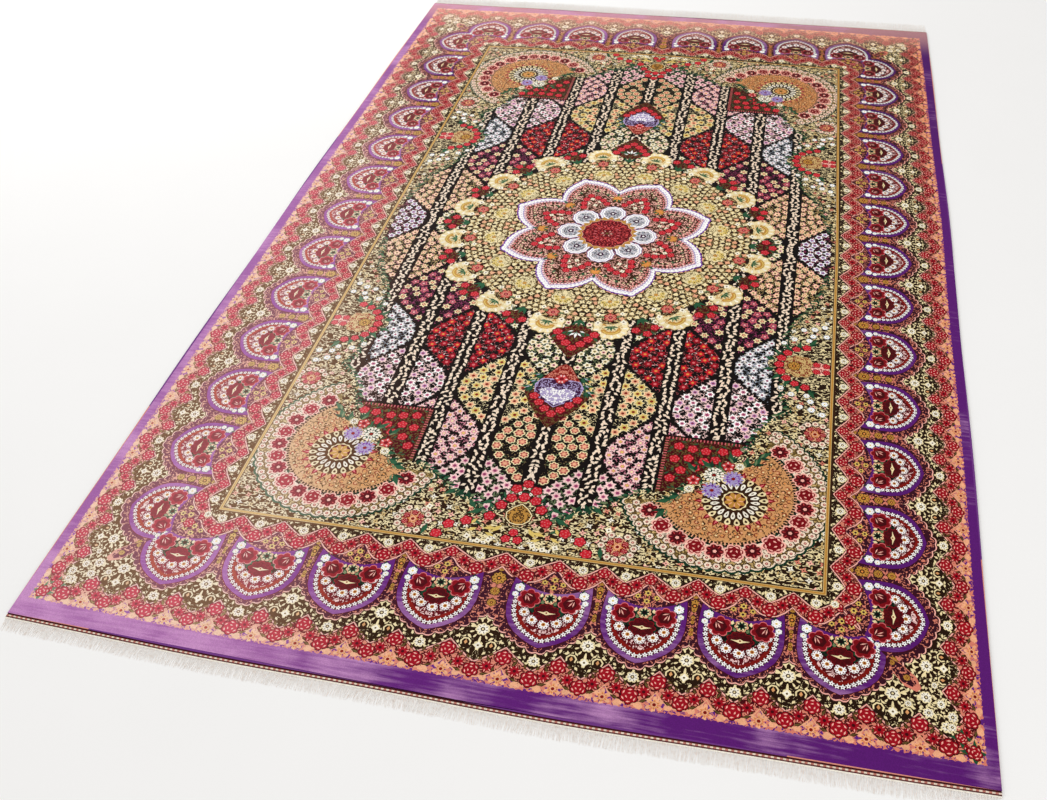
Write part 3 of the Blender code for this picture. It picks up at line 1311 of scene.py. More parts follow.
@dataclass
class Medallion(Motif):
    """The round star in the middle, whose lobes repeat by eighths and sixteenths of a turn."""

    lobe_radii: tuple[float, ...] = (188, 181, 176, 169, 160, 149, 137)
    lobe_angles: tuple[float, ...] = (0, 3, 7, 11, 15, 19, 22.5)
    lobe_steps: int = 160
    ground_radius: float = 264.0
    fan_radius: float = 203.0
    rose_radius: float = 246.0
    scallop_radius: float = 273.0
    petal_radius: float = 66.0

    @staticmethod
    def spokes(count: int, first: float) -> list[float]:
        """Even angles in degrees that lie in or near the drawn quarter."""
        angles = (first + 360 * index / count for index in range(-1, count))
        return [angle for angle in angles if -30 < angle < 120]

    def lobed(self, outset: float) -> Outline:
        """The eight-lobed outline, moved outwards by some squares.

        Args:
            outset: how far it is moved.

        Returns:
            The outline.
        """

        def radius_at(angle: float) -> float:
            """The outline's radius in a direction."""
            off = abs(angle % 45 - 22.5)
            return float(np.interp(off, self.lobe_angles, self.lobe_radii)) + outset

        return polar(radius_at, self.lobe_steps)

    def draw(self) -> None:
        """Draws the medallion from its rim inwards."""
        self.draw_sprays()
        self.draw_scallops()
        self.draw_ground()
        self.draw_lobes()
        self.draw_petals()

    def draw_sprays(self) -> None:
        """Lays the sprays of three roses that show between the outer scallops."""
        chart = self.sheet
        for angle in self.spokes(16, 0.0):
            middle = spoke(285, angle)
            chart.paint(scallops(6, 20, 16), Cloth.ROSE_BED, middle, angle)
            for out, turn in ((6, -62), (6, 62), (0, -25), (0, 25)):
                chart.leaf(middle + spoke(out, angle), 18, 6, angle + turn, Dye.GREEN)
            for radius, off in ((284, -3.2), (284, 3.2), (296, 0.0)):
                chart.bloom(Flower.BRIGHT_ROSE, spoke(radius, angle + off), 8.8, angle)

    def draw_scallops(self) -> None:
        """Lays the sixteen cream fans of the rim."""
        chart = self.sheet
        for angle in self.spokes(16, 11.25):
            middle = spoke(self.scallop_radius, angle)
            chart.paint(scallops(13, 31, 28), Dye.SAND, middle, angle)
            chart.paint(scallops(13, 29.8, 26.6), Dye.CREAM, middle, angle)
            chart.wheel(middle, 13, 19, 8.4, 4.0, Dye.IVORY, angle)
            chart.paint(disc(19.5, 14), Ground(Dye.CREAM, Dye.GOLD, 0.34), middle, angle)
            chart.paint(crescent(14.5, 7.0, -72, 72, 8), Dye.GOLD, middle, angle)
            chart.paint(crescent(15.5, 1.8, -60, 60, 6), Dye.YELLOW, middle, angle)
            for off in (-70, -35, 0, 35, 70):
                chart.leaf(middle - spoke(4, angle), 14, 4.4, angle + off, Dye.SAGE if off % 2 else Dye.GREEN)

    def draw_ground(self) -> None:
        """Lays the golden-brown round with its rings of blossoms, fans and salmon roses."""
        chart = self.sheet
        chart.paint(
            polar(lambda angle: self.ground_radius - 7 * abs(math.cos(math.radians(8 * angle))), 128),
            Cloth.MEDALLION,
        )
        for index, radius in enumerate(range(152, 262, 11)):
            count = 16 * round(radius * math.tau / 16 / 12)
            for place, angle in enumerate(self.spokes(count, 180 / count * (index % 2))):
                spot = spoke(radius, angle)
                turn = index + place
                blossom = star(3, 5.4, 3.8) if turn % 3 else star(4, 6.2, 3.2)
                chart.paint(blossom, Dye.CREAM if turn % 4 else Dye.PEACH, spot, 40 * turn)
                if turn % 2:
                    chart.paint(disc(1.4, 4), Dye.UMBER, spot)
        for angle in self.spokes(16, 11.25):
            self.draw_fan(angle)
            rose = spoke(self.rose_radius, angle)
            for off in (-4.6, 4.6):
                chart.bloom(Flower.CREAM_STAR, spoke(self.ground_radius - 4, angle + off), 7.6, angle)
                chart.bloom(Flower.CREAM_STAR, spoke(self.rose_radius - 8, angle + off * 1.05), 6.4, angle)
            for turn in (100, -100):
                chart.leaf(rose, 20, 8, angle + turn, Dye.SAGE)
            chart.bloom(Flower.SALMON_ROSE, rose, 12.0, angle)
        for angle in self.spokes(16, 0.0):
            for off in (-34, 0, 34):
                chart.leaf(spoke(254, angle), 20, 6.5, angle + off, Dye.GREEN)

    def draw_fan(self, angle: float) -> None:
        """Lays one of the pale fans between the lobes and the salmon roses.

        Args:
            angle: the direction in which it stands.
        """
        chart, middle = self.sheet, spoke(self.fan_radius, angle)
        for size, yarn in ((1.0, Dye.OLIVE), (0.94, Cloth.FAN)):
            chart.paint(scallops(9, 22 * size, 19.5 * size), yarn, middle, angle)
        for step in range(5):
            off = angle - 80 + 40 * step
            chart.paint(petal(9.5, 7), Dye.YELLOW, middle + spoke(6, off), off)
            chart.paint(disc(1.5, 5), Dye.UMBER, middle + spoke(12, off))
        chart.paint(disc(4, 6), Dye.GOLD, middle)

    def draw_lobes(self) -> None:
        """Lays the eight-lobed star: white rim, dotted ground, and a vee of roses in each lobe."""
        chart = self.sheet
        for outset, yarn in ((6.6, Dye.VIOLET), (3.6, Dye.WHITE), (-5.4, Dye.LAVENDER)):
            rim = self.lobed(outset)
            chart.paint(rippled(rim + rim[:1], 7.0, 1.6), yarn)
        for outset, yarn in ((-6.8, Dye.PALE_PINK), (-11.0, Cloth.LOBE)):
            chart.paint(self.lobed(outset), yarn)
        for inset, pitch, size, yarn in (
            (-1.0, 7.0, 1.2, Dye.LILAC), (-8.8, 6.0, 1.5, Dye.MAUVE),
            (-15, 8.0, 2.0, Dye.ROSE), (-22, 8.0, 2.0, Dye.BLUSH), (-29, 8.5, 1.9, Dye.CREAM),
        ):
            path = self.lobed(inset)
            chart.beads(path + path[:1], pitch, disc(size, 5), yarn)
        for angle in self.spokes(8, 0.0):
            for radius, yarn in ((12, Dye.RUST), (10.6, Dye.GOLD), (7.5, Dye.ORANGE)):
                chart.paint(star(8, radius, radius * 0.68), yarn, spoke(118, angle), angle)
            chart.leaf(spoke(126, angle), 13, 6, angle, Dye.GREEN)
        for angle in self.spokes(8, 22.5):
            for radius, off in ((108, -19), (108, 19), (126, -13), (126, 13), (142, -6), (142, 6)):
                chart.leaf(spoke(radius, angle + off), 11, 5, angle + off * 3, Dye.GREEN)
            for radius, off in ((120, 0), (108, -6), (108, 6), (98, 0)):
                chart.bloom(Flower.CREAM_STAR, spoke(radius, angle + off), 5.4, angle)
            for out, off in ((97, -22), (97, 22), (110, -18.5), (110, 18.5), (122, -11), (122, 11), (132, 0)):
                chart.bloom(Flower.BRIGHT_ROSE, spoke(1, angle) * complex(out, off), 8.0, angle)

    def draw_petals(self) -> None:
        """Lays the eight grey petals, the gold star and the red rosette."""
        chart = self.sheet
        for angle in self.spokes(8, 0.0):
            middle = spoke(self.petal_radius, angle)
            for radius, yarn in (
                (25.4, Dye.VIOLET), (24.4, Dye.WHITE), (21.2, Dye.LAVENDER), (20.0, Dye.WHITE),
                (17.0, Cloth.PETAL),
            ):
                chart.paint(scallops(11, radius, radius - 1.8), yarn, middle, angle)
            chart.wheel(middle, 7, 7.0, 8.0, 3.0, Dye.SMOKE, angle)
            chart.wheel(middle, 7, 9.5, 3.0, 1.8, Dye.COAL, angle)
            chart.paint(scallops(5, 6.0, 4.6), Dye.AUBERGINE, middle, angle)
            chart.paint(disc(2.4, 6), Dye.WHITE, middle)
        chart.paint(star(24, 55, 47), Dye.GOLD)
        for size, yarn in ((47, Dye.BLUSH), (46, Dye.WINE), (44.5, Cloth.ROSETTE)):
            chart.paint(scallops(16, size, size - 3.5), yarn)
        for count, inner, length, width, yarn in (
            (16, 29, 13, 7, Dye.GARNET), (16, 33, 6, 2.4, Dye.CORAL), (12, 14, 13, 6, Dye.CRIMSON),
            (12, 18, 7, 2.4, Dye.ROSE), (8, 2, 11, 5, Dye.GARNET), (8, 5, 5, 1.8, Dye.BLUSH),
        ):
            chart.wheel(0j, count, inner, length, width, yarn, 11.25)
        chart.paint(disc(3.0, 8), Dye.OLIVE)


@dataclass
class Roundel(Motif):
    """The roundel in each corner of the field, a ring of roses that opens towards the middle."""

    middle: complex = 283 + 610j
    facing: float = 50.0
    spread: float = 115.0
    flare: float = 30.0
    roses: int = 15

    def ring(self, radius: float, angle: float) -> complex:
        """A place on the ring, which widens towards its two ends."""
        share = (angle - self.facing) / self.spread
        return self.middle + spoke(radius + self.flare * share * share, angle)

    def arc(self, radius: float, over: float, steps: int = 30) -> Outline:
        """The ring's line at a radius, from end to end."""
        start, stop = self.facing - self.spread - over, self.facing + self.spread + over
        return [self.ring(radius, start + (stop - start) * step / steps) for step in range(steps + 1)]

    def draw(self) -> None:
        """Draws the roundel."""
        chart = self.sheet
        for radius, yarn in ((120, Dye.FOREST), (116.5, Dye.SHELL), (114, Ground(Dye.OLIVE, Dye.SAND, 0.40))):
            chart.paint(rippled(self.arc(radius, 7), 12, 4.0) + [self.middle], yarn)
        for radius, pitch, size in ((112.5, 12.8, 6.6), (101.0, 12.6, 6.5)):
            left = 0.0
            arc = self.arc(radius, 7, 90)
            for here, there in zip(arc, arc[1:]):
                left -= abs(there - here)
                if left <= 0:
                    chart.bloom(Flower.EDGE_DAISY, here, size, chart.draw.uniform(0, 60))
                    left += pitch
        chart.line(self.arc(88, 4), 19, Cloth.RING)
        chart.line(self.arc(77, 4), 4.4, Ground(Dye.COAL, Dye.FOREST, 0.4))
        self.draw_disc()
        for index in range(self.roses):
            step = index - self.roses // 2
            angle = self.facing + 15.4 * step + math.copysign(4.5, step) * bool(step)
            flower, size = ((Flower.DOUBLE_ROSE, 15.0), (Flower.DARK_ROSE, 14.4))[step % 2]
            chart.bloom(flower, self.ring(88, angle), size if step else 17.0, angle)
        self.draw_heart()
        self.draw_posy()

    def draw_disc(self) -> None:
        """Draws the tan disc with its hatched edge and its curls."""
        chart = self.sheet
        tan = self.arc(74, 6) + [self.middle + spoke(46, self.facing + turn) for turn in (150, 180, 210)]
        chart.paint(tan, Dye.COAL)
        chart.beads(self.arc(74, 4), 5.0, line_of((-0.8, -2), (0.8, -2), (0.8, 3), (-0.8, 3)), Dye.PEACH)
        tan = scaled(tan, self.middle, 0.965)
        chart.paint(tan, Cloth.ROUNDEL)
        for index, spot in enumerate(chart.scatter(self.middle - 110 - 110j, self.middle + 110 + 110j, 9.6)):
            away = abs(spot - self.middle)
            if away > 50 and inside(spot, scaled(tan, self.middle, 0.93)):
                turn = 360 * chart.draw.random()
                chart.paint(crescent(3.3, 1.2, 0, 250, 5), (Dye.UMBER, Dye.RUST)[index % 2], spot, turn)
                chart.paint(disc(1.4, 5), (Dye.CREAM, Dye.ORANGE, Dye.PEACH)[index % 3], spot)

    def draw_heart(self) -> None:
        """Draws the round in the middle, ring by ring."""
        chart = self.sheet
        at = self.middle
        for length, width, yarn in ((15.0, 8.0, Dye.CRIMSON), (11.0, 3.2, Dye.ROSE)):
            for index in range(20):
                angle = 9 + 18 * index
                chart.leaf(at + spoke(41, angle), length, width, angle, yarn)
        chart.paint(disc(44.5, 30), Dye.UMBER, at)
        for inner, length, width, turn, yarn in (
            (33.0, 12.0, 8.2, 9, Dye.CREAM), (21.5, 12.0, 6.0, 0, Dye.IVORY)
        ):
            chart.wheel(at, 20, inner, length, width, yarn, turn)
            chart.wheel(at, 20, inner + 4.0, 4.6, width - 4.2, Dye.UMBER, turn)
        chart.paint(scallops(12, 18.0, 16.2), Dye.CREAM, at)
        chart.paint(disc(15.5, 16), Dye.WINE, at)
        chart.wheel(at, 8, 2.5, 12, 6.6, Dye.GOLD, 22.5)
        chart.wheel(at, 8, 4.5, 7, 2.0, Dye.PEACH, 0)
        chart.paint(disc(2.6, 6), Dye.UMBER, at)

    def draw_posy(self) -> None:
        """Draws the blossoms that close the roundel towards the middle of the rug."""
        chart = self.sheet
        for at, length, turn in (
            (262 + 560j, 24, 250), (236 + 585j, 26, 200), (246 + 556j, 24, 225), (222 + 600j, 22, 180),
            (208 + 612j, 22, 150), (290 + 546j, 24, 280), (302 + 540j, 24, 300), (222 + 566j, 22, 240),
            (308 + 524j, 24, 320), (192 + 640j, 24, 120), (198 + 622j, 22, 160), (272 + 540j, 22, 260),
        ):
            chart.leaf(at, length, 9, turn, Dye.GREEN)
            chart.leaf(at, length * 0.8, 6, turn + 40, Dye.FOREST)
            chart.leaf(at + 3, length * 0.6, 3.4, turn - 25, Dye.SAGE)
        for at, yarn, heart in (
            (277 + 570j, Dye.LAVENDER, Dye.VIOLET), (250 + 596j, Dye.LAVENDER, Dye.VIOLET),
            (250 + 567j, Dye.IVORY, Dye.FOREST),
        ):
            chart.line([at, at + (self.middle - at) * 0.3], 4.5, Dye.UMBER)
            chart.paint(disc(11, 12), Ground(heart, yarn, 0.4), at)
            chart.wheel(at, 14, 9.0, 5.4, 3.9, yarn)
            chart.wheel(at, 10, 3.2, 5.0, 3.2, yarn)
            chart.paint(disc(3.0, 6), Dye.RUST, at)
        for daisy, rose in ((284 + 545j, 268 + 547j), (219 + 598j, 223 + 581j)):
            chart.bloom(Flower.CREAM_DAISY, daisy, 7.6, 45)
            chart.bloom(Flower.SOFT_ROSE, rose, 10.5, 45)


@dataclass
class Field:
    """A quarter of everything inside the gold line."""

    across: float = HALF_ACROSS - Border.SIDE_DEPTHS[-1]
    along: float = HALF_ALONG - Border.DEPTHS[-1]
    seed: int = 13

    def chart(self) -> Chart:
        """Draws the quarter.

        Returns:
            The chart, in places across and along.
        """
        box = line_of((0, 0), (self.across, 0), (self.across, self.along), (0, self.along), (0, 0))
        self.sheet = Chart(spread(box, 30.0)[:-1], Cloth.VINES, self.seed)
        trellis = Trellis(self.sheet)
        trellis.plant()
        trellis.hedge(complex(self.across, self.along))
        self.draw_rose_triangle()
        Roundel(self.sheet).draw()
        self.draw_rosettes()
        self.draw_side_bouquet()
        self.draw_pendant()
        self.draw_end_garland()
        Medallion(self.sheet).draw()
        self.draw_vee()
        return self.sheet

    def roses(self, flower: Bloom, radius: float, *places: complex) -> None:
        """Lays one kind of rose at several places."""
        for at in places:
            self.sheet.bloom(flower, at, radius, 360 * self.sheet.draw.random())

    def leaves(self, yarn: Yarn, *rows: tuple[complex, float, float]) -> None:
        """Lays leaves, each from its root, with its length and direction in degrees."""
        for root, length, turn in rows:
            self.sheet.leaf(root, length, length * 0.34, turn, yarn)

    def draw_rose_triangle(self) -> None:
        """Draws the rose bed between the trellis and the corner roundel."""
        chart = self.sheet
        bed = line_of((174, 500), (288, 500), (262, 540), (228, 572), (198, 604), (174, 612))
        chart.paint(bed, Cloth.ROSE_BED)
        for path in (line_of((177, 502), (177, 608)), line_of((177, 503), (284, 503))):
            chart.beads(path, 5.0, line_of((-0.8, -2.5), (0.8, -2.5), (0.8, 2.5), (-0.8, 2.5)), Dye.ROSE)
        chart.line(line_of((172, 614), (172, 499), (288, 499)), 4, Dye.COAL)
        for spot in chart.scatter(180 + 508j, 270 + 600j, 15):
            if inside(spot, bed):
                chart.leaf(spot, 9, 3, 360 * chart.draw.random(), Dye.GREEN)
        self.roses(
            Flower.BRIGHT_ROSE, 9.0, 195 + 518j, 215 + 521j, 234 + 523j, 258 + 520j, 277 + 518j, 211 + 540j,
            233 + 543j, 249 + 538j, 192 + 544j, 222 + 558j, 203 + 565j, 190 + 582j,
        )

    def draw_rosettes(self) -> None:
        """Draws the two small open roundels beside the gold line."""
        chart = self.sheet
        for at, opening in ((384 + 461j, 180.0), (140 + 716j, 270.0)):
            for index in range(11):
                angle = opening + 30 + 300 * index / 10
                chart.bloom(Flower.EDGE_DAISY, at + spoke(21.5, angle), 6.4, angle)
            chart.paint(scallops(10, 16, 14), Ground(Dye.RUST, Dye.PEACH, 0.4), at)
            for index in range(6):
                chart.bloom(Flower.BUD_ROSE, at + spoke(11.5, opening + 60 * index), 5.0)
            chart.bloom(Flower.ORANGE_STAR, at, 8.0)

    def draw_side_bouquet(self) -> None:
        """Draws the bouquet that cuts into the trellis at mid-side."""
        chart = self.sheet
        middle = 314.0
        ground = line_of((404, 404), (372, 394), (352, 378), (336, 352), (312, 330), (306, 314))
        mirrored = [complex(point.real, 2 * middle - point.imag) for point in reversed(ground)]
        chart.paint(ground + mirrored + line_of((430, 220), (430, 410)), Cloth.VINES)
        for across, wide, yarn in (
            (356, 27, Ground(Dye.SAND, Dye.RUST, 0.4)), (388, 15, Ground(Dye.BLUSH, Dye.RUST, 0.3))
        ):
            chart.paint(scallops(9, wide, wide * 0.86), yarn, complex(across, middle), 180)
        blossoms = (
            (393, 104, 6), (377, 96, 6.6), (375, 78, 6), (369, 66, 5.6), (346, 66, 6), (330, 54, 5.4),
            (396, 80, 6), (360, 92, 5.6),
        )
        roses = (
            (325, 0, 9.0), (328, 16, 8.8), (337, 30, 8.6), (350, 41, 7.8), (366, 47, 8.4), (382, 8.0, 7.0),
            (397, 7.4, 7.0),
        )
        for up in (1, -1):
            for root, length, turn in (
                (330, 24, 130), (342, 26, 110), (352, 26, 80), (318, 20, 160), (370, 24, 60)
            ):
                at = complex(root, middle + up * (root - 306) * 0.8)
                chart.leaf(at, length, 8, turn * up, Dye.GREEN)
                chart.leaf(at, length * 0.8, 5, (turn - 30) * up, Dye.FOREST)
            for across, off, radius in blossoms:
                chart.bloom(Flower.WHITE_BLOSSOM, complex(across, middle + up * off), radius)
            for across, off, radius in roses:
                chart.bloom(Flower.BRIGHT_ROSE, complex(across, middle + up * off), radius, 30 * up)
        chart.bloom(Flower.GOLD_DAISY, complex(348, middle), 11.5)

    def draw_vee(self) -> None:
        """Draws the vee of roses that hangs from the medallion on the long axis."""
        chart = self.sheet
        chart.paint(both_sides(line_of((0, 354), (22, 328), (42, 300), (34, 280), (0, 276))), Cloth.ROSE_BED)
        self.leaves(
            Dye.GREEN, (6 + 282j, 20, 60), (14 + 288j, 22, 30), (26 + 292j, 20, 50), (0 + 284j, 18, 90)
        )
        self.leaves(Dye.WHITE, (0 + 288j, 15, 90), (2 + 289j, 12, 45), (5 + 284j, 10, 20))
        self.roses(Flower.BRIGHT_ROSE, 9.6, 30 + 290j, 22 + 303j, 0 + 327j, 12 + 316j)

    def draw_pendant(self) -> None:
        """Draws the vase of flowers on the long axis, with the vee of roses beyond it."""
        chart = self.sheet
        bed = both_sides(line_of((0, 440), (48, 430), (50, 440), (38, 464), (20, 490), (0, 514)))
        chart.paint(bed, Cloth.ROSE_BED)
        for at in (34 + 412j, 30 + 396j, 40 + 426j):
            self.leaves(Dye.FOREST, (at, 20, 40), (at, 16, 80))
            self.leaves(Dye.GREEN, (at + 2, 18, 10), (at, 17, 60))
            self.leaves(Dye.SMOKE, (at + 4, 9, 30))
        for size, yarn in ((1.0, Dye.BROWN), (0.93, Ground(Dye.RUST, Dye.SALMON, 0.45))):
            crown = line_of((0, 366), (10, 372), (20, 388), (31, 406), (18, 412), (0, 414))
            chart.paint(scaled(both_sides(crown), 392j, size), yarn)
        bowl = both_sides(
            line_of((0, 410), (14, 404), (30, 406), (38, 420), (35, 438), (22, 454), (10, 460), (0, 468))
        )
        for size, yarn in ((1.0, Dye.LAVENDER), (0.95, Ground(Dye.AUBERGINE, Dye.LAVENDER, 0.40))):
            chart.paint(scaled(bowl, 436j, size), yarn)
        lower = both_sides(line_of((0, 428), (12, 424), (27, 430), (26, 442), (13, 454), (0, 463)))
        chart.paint(lower, Ground(Dye.LAVENDER, Dye.WHITE, 0.46))
        chart.bloom(Flower.SOFT_ROSE, 0 + 403j, 12.0)
        self.roses(Flower.BRIGHT_ROSE, 9.0, 33 + 447j, 23 + 460j, 12 + 472j, 0 + 482j)

    def draw_end_garland(self) -> None:
        """Draws the garland that closes the trellis at each end of the long axis."""
        chart = self.sheet
        self.leaves(
            Dye.FOREST, (84 + 650j, 22, 60), (80 + 652j, 20, 110), (92 + 656j, 18, 20), (50 + 678j, 20, 60)
        )
        self.leaves(
            Dye.GREEN, (50 + 682j, 24, 30), (40 + 664j, 20, 30), (96 + 652j, 22, 40), (74 + 668j, 22, 130),
            (64 + 700j, 20, 150), (118 + 720j, 22, 80),
        )
        self.leaves(
            Dye.YELLOW, (18 + 706j, 20, 50), (24 + 712j, 20, 10), (38 + 722j, 16, 160), (50 + 716j, 16, 30),
            (54 + 700j, 14, 60),
        )
        for size, yarn in ((1.0, Dye.UMBER), (0.92, Dye.CREAM), (0.84, Ground(Dye.GOLD, Dye.UMBER, 0.42))):
            fan = line_of((0, 662), (11, 670), (20, 682), (18, 694), (10, 702), (0, 704))
            chart.paint(scaled(both_sides(fan), 685j, size), yarn)
        self.roses(
            Flower.BRIGHT_ROSE, 9.4, 0 + 627j, 14 + 638j, 0 + 652j, 17 + 656j, 28 + 671j, 39 + 693j,
            68 + 706j, 90 + 716j, 102 + 735j,
        )
        self.roses(Flower.BRIGHT_ROSE, 7.6, 8 + 728j, 0 + 716j)
        for at in (30 + 734j, 44 + 738j, 124 + 690j, 60 + 732j):
            chart.bloom(Flower.CREAM_STAR, at, 6.4, 20)


# ---- From squares to metres ----


@dataclass(frozen=True)
class Edge:
    """How one edge of the rug stands out past the line between its corners."""

    bulge: float
    wave: float
    waves: float

    def reach(self, along: np.ndarray) -> np.ndarray:
        """How far it stands out, where the corners are at -1 and 1."""
        return (1 - along * along) * (self.bulge + self.wave * np.sin(np.pi * self.waves * along))


Table = tuple[tuple[float, ...], ...]


@dataclass
class Layout:
    """Where the chart's squares lie on the floor, with the uneven edges of a hand-made rug.

    The pattern lies up to a few centimetres off an even grid, as in the photograph. The two tables give how
    far, in millimetres: a row for each power of the place across, a column for each power of that along.
    Their numbers aren't chosen by hand: a scratch program matched the render to the photograph and fitted them.
    """

    half_width: float = 0.8
    half_length: float = 1.3
    drift: float = 0.024
    near: Edge = Edge(0.013, 0.0016, 2.5)
    far: Edge = Edge(0.004, 0.0014, 3.0)
    left: Edge = Edge(0.011, 0.0015, 3.5)
    right: Edge = Edge(0.009, 0.0018, 3.0)
    columns: int = 16
    pull_across: Table = ((7.3, 2.9, -5.8, -1.8), (-8.9, -9.2, -1.9, 0), (-2.1, -2.6, 0, 0), (-4.6, 0, 0, 0))
    pull_along: Table = (
        (-8.5, 9.9, 14.4, -3.0), (21.6, -6.4, -17.7, 0), (-19.0, -14.8, 0, 0), (-11.7, 0, 0, 0)
    )

    @cached_property
    def middle(self) -> np.ndarray:
        """The middle of the pile's rectangle, which the CAD nodes give away.

        Returns:
            Its place across and along, in metres.
        """
        low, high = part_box("fringe_near")
        across = np.linspace(-1, 1, self.columns + 1)
        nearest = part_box("rug_body")[0].y
        return np.array([(low.x + high.x) / 2, nearest + self.half_length + self.near.reach(across).max()])

    def place(self, spots: np.ndarray) -> np.ndarray:
        """Lays squares of the chart on the floor.

        Args:
            spots: rows of squares from the middle of the pile, across and along.

        Returns:
            Rows of metres in the frame.
        """
        u, v = spots[:, 0] / HALF_ACROSS, spots[:, 1] / HALF_ALONG
        side = np.where(u > 0, self.right.reach(v), self.left.reach(v))
        end = np.where(v > 0, self.far.reach(u), self.near.reach(u))
        across, along = (
            np.polynomial.polynomial.polyval2d(u, v, table) / 1000 for table in (
                self.pull_across, self.pull_along
            )
        )
        x = u * (self.half_width + side) + across * (1 - u**16)
        y = v * (self.half_length + end) + self.drift * (1 - v * v) + along * (1 - v**16)
        return np.stack([x, y], axis=1) + self.middle

    def end_line(self, far: bool, u: np.ndarray, outward: np.ndarray) -> np.ndarray:
        """Places beside an end of the pile.

        Args:
            far: which end.
            u: shares across the rug, from -1 to 1.
            outward: metres past the pile's edge.

        Returns:
            Rows of metres in the frame.
        """
        edge, sign = (self.far, 1.0) if far else (self.near, -1.0)
        y = sign * (self.half_length + edge.reach(u) + outward)
        return np.stack([u * self.half_width, y], axis=1) + self.middle


# ---- Finishes ----


@dataclass
class Wiring:
    """Places shader nodes in a tree and links them."""

    tree: NodeTree

    def add(self, kind: str, inputs: dict | None = None, **settings: object) -> Node:
        """Places a node.

        Args:
            kind: its type, without the ShaderNode that all types start with.
            inputs: values or output sockets by the name or number of the input.
            settings: its other properties.

        Returns:
            The node.
        """
        node = self.tree.nodes.new(kind if kind.startswith("Node") else "ShaderNode" + kind)
        for name, value in settings.items():
            setattr(node, name, value)
        for name, value in (inputs or {}).items():
            if isinstance(value, NodeSocket):
                self.join(value, node.inputs[name])
            else:
                node.inputs[name].default_value = value
        return node

    def join(self, value: NodeSocket, target: NodeSocket) -> None:
        """Links an output to an input."""
        self.tree.links.new(value, target)

    def math(self, operation: str, *values: object) -> NodeSocket:
        """The result of a Math node."""
        return self.add("Math", dict(enumerate(values)), operation=operation).outputs[0]

    def ramp(
        self, value: object, low: float, high: float, start: float = 0.0, stop: float = 1.0
    ) -> NodeSocket:
        """A value taken smoothly from one range to another."""
        inputs = {"Value": value, "From Min": low, "From Max": high, "To Min": start, "To Max": stop}
        return self.add("MapRange", inputs, interpolation_type="SMOOTHSTEP").outputs["Result"]

    def blend(self, share: object, a: object, b: object, how: str = "MIX") -> NodeSocket:
        """Two colours mixed."""
        node = self.add("Mix", {0: share, 6: a, 7: b}, data_type="RGBA", blend_type=how)
        return node.outputs[2]

    def toned(self, colour: NodeSocket, tone: NodeSocket) -> NodeSocket:
        """A colour made lighter or darker by a tone."""
        grey = self.add("CombineColor", {index: tone for index in range(3)})
        return self.blend(1.0, colour, grey.outputs[0], "MULTIPLY")

    def bump(self, shader: Node, height: NodeSocket, strength: float, distance: float) -> None:
        """Gives a shader's surface a fine relief, whose distance is in metres."""
        relief = self.add("Bump", {"Height": height, "Strength": strength, "Distance": distance})
        self.join(relief.outputs[0], shader.inputs["Normal"])


def new_group(name: str, takes: dict[str, str], gives: dict[str, str]) -> tuple[Wiring, dict, dict]:
    """Makes a shader node group.

    Args:
        name: the group's name.
        takes: its inputs' kinds by name.
        gives: its outputs' kinds by name.

    Returns:
        Its wiring, the sockets that bring its inputs, and the sockets that its outputs go to.
    """
    tree = bpy.data.node_groups.new(name, "ShaderNodeTree")
    for direction, sockets in (("INPUT", takes), ("OUTPUT", gives)):
        for socket, kind in sockets.items():
            tree.interface.new_socket(socket, in_out=direction, socket_type="NodeSocket" + kind)
    wiring = Wiring(tree)
    entry, leaving = wiring.add("NodeGroupInput"), wiring.add("NodeGroupOutput")
    return wiring, entry.outputs, leaving.inputs


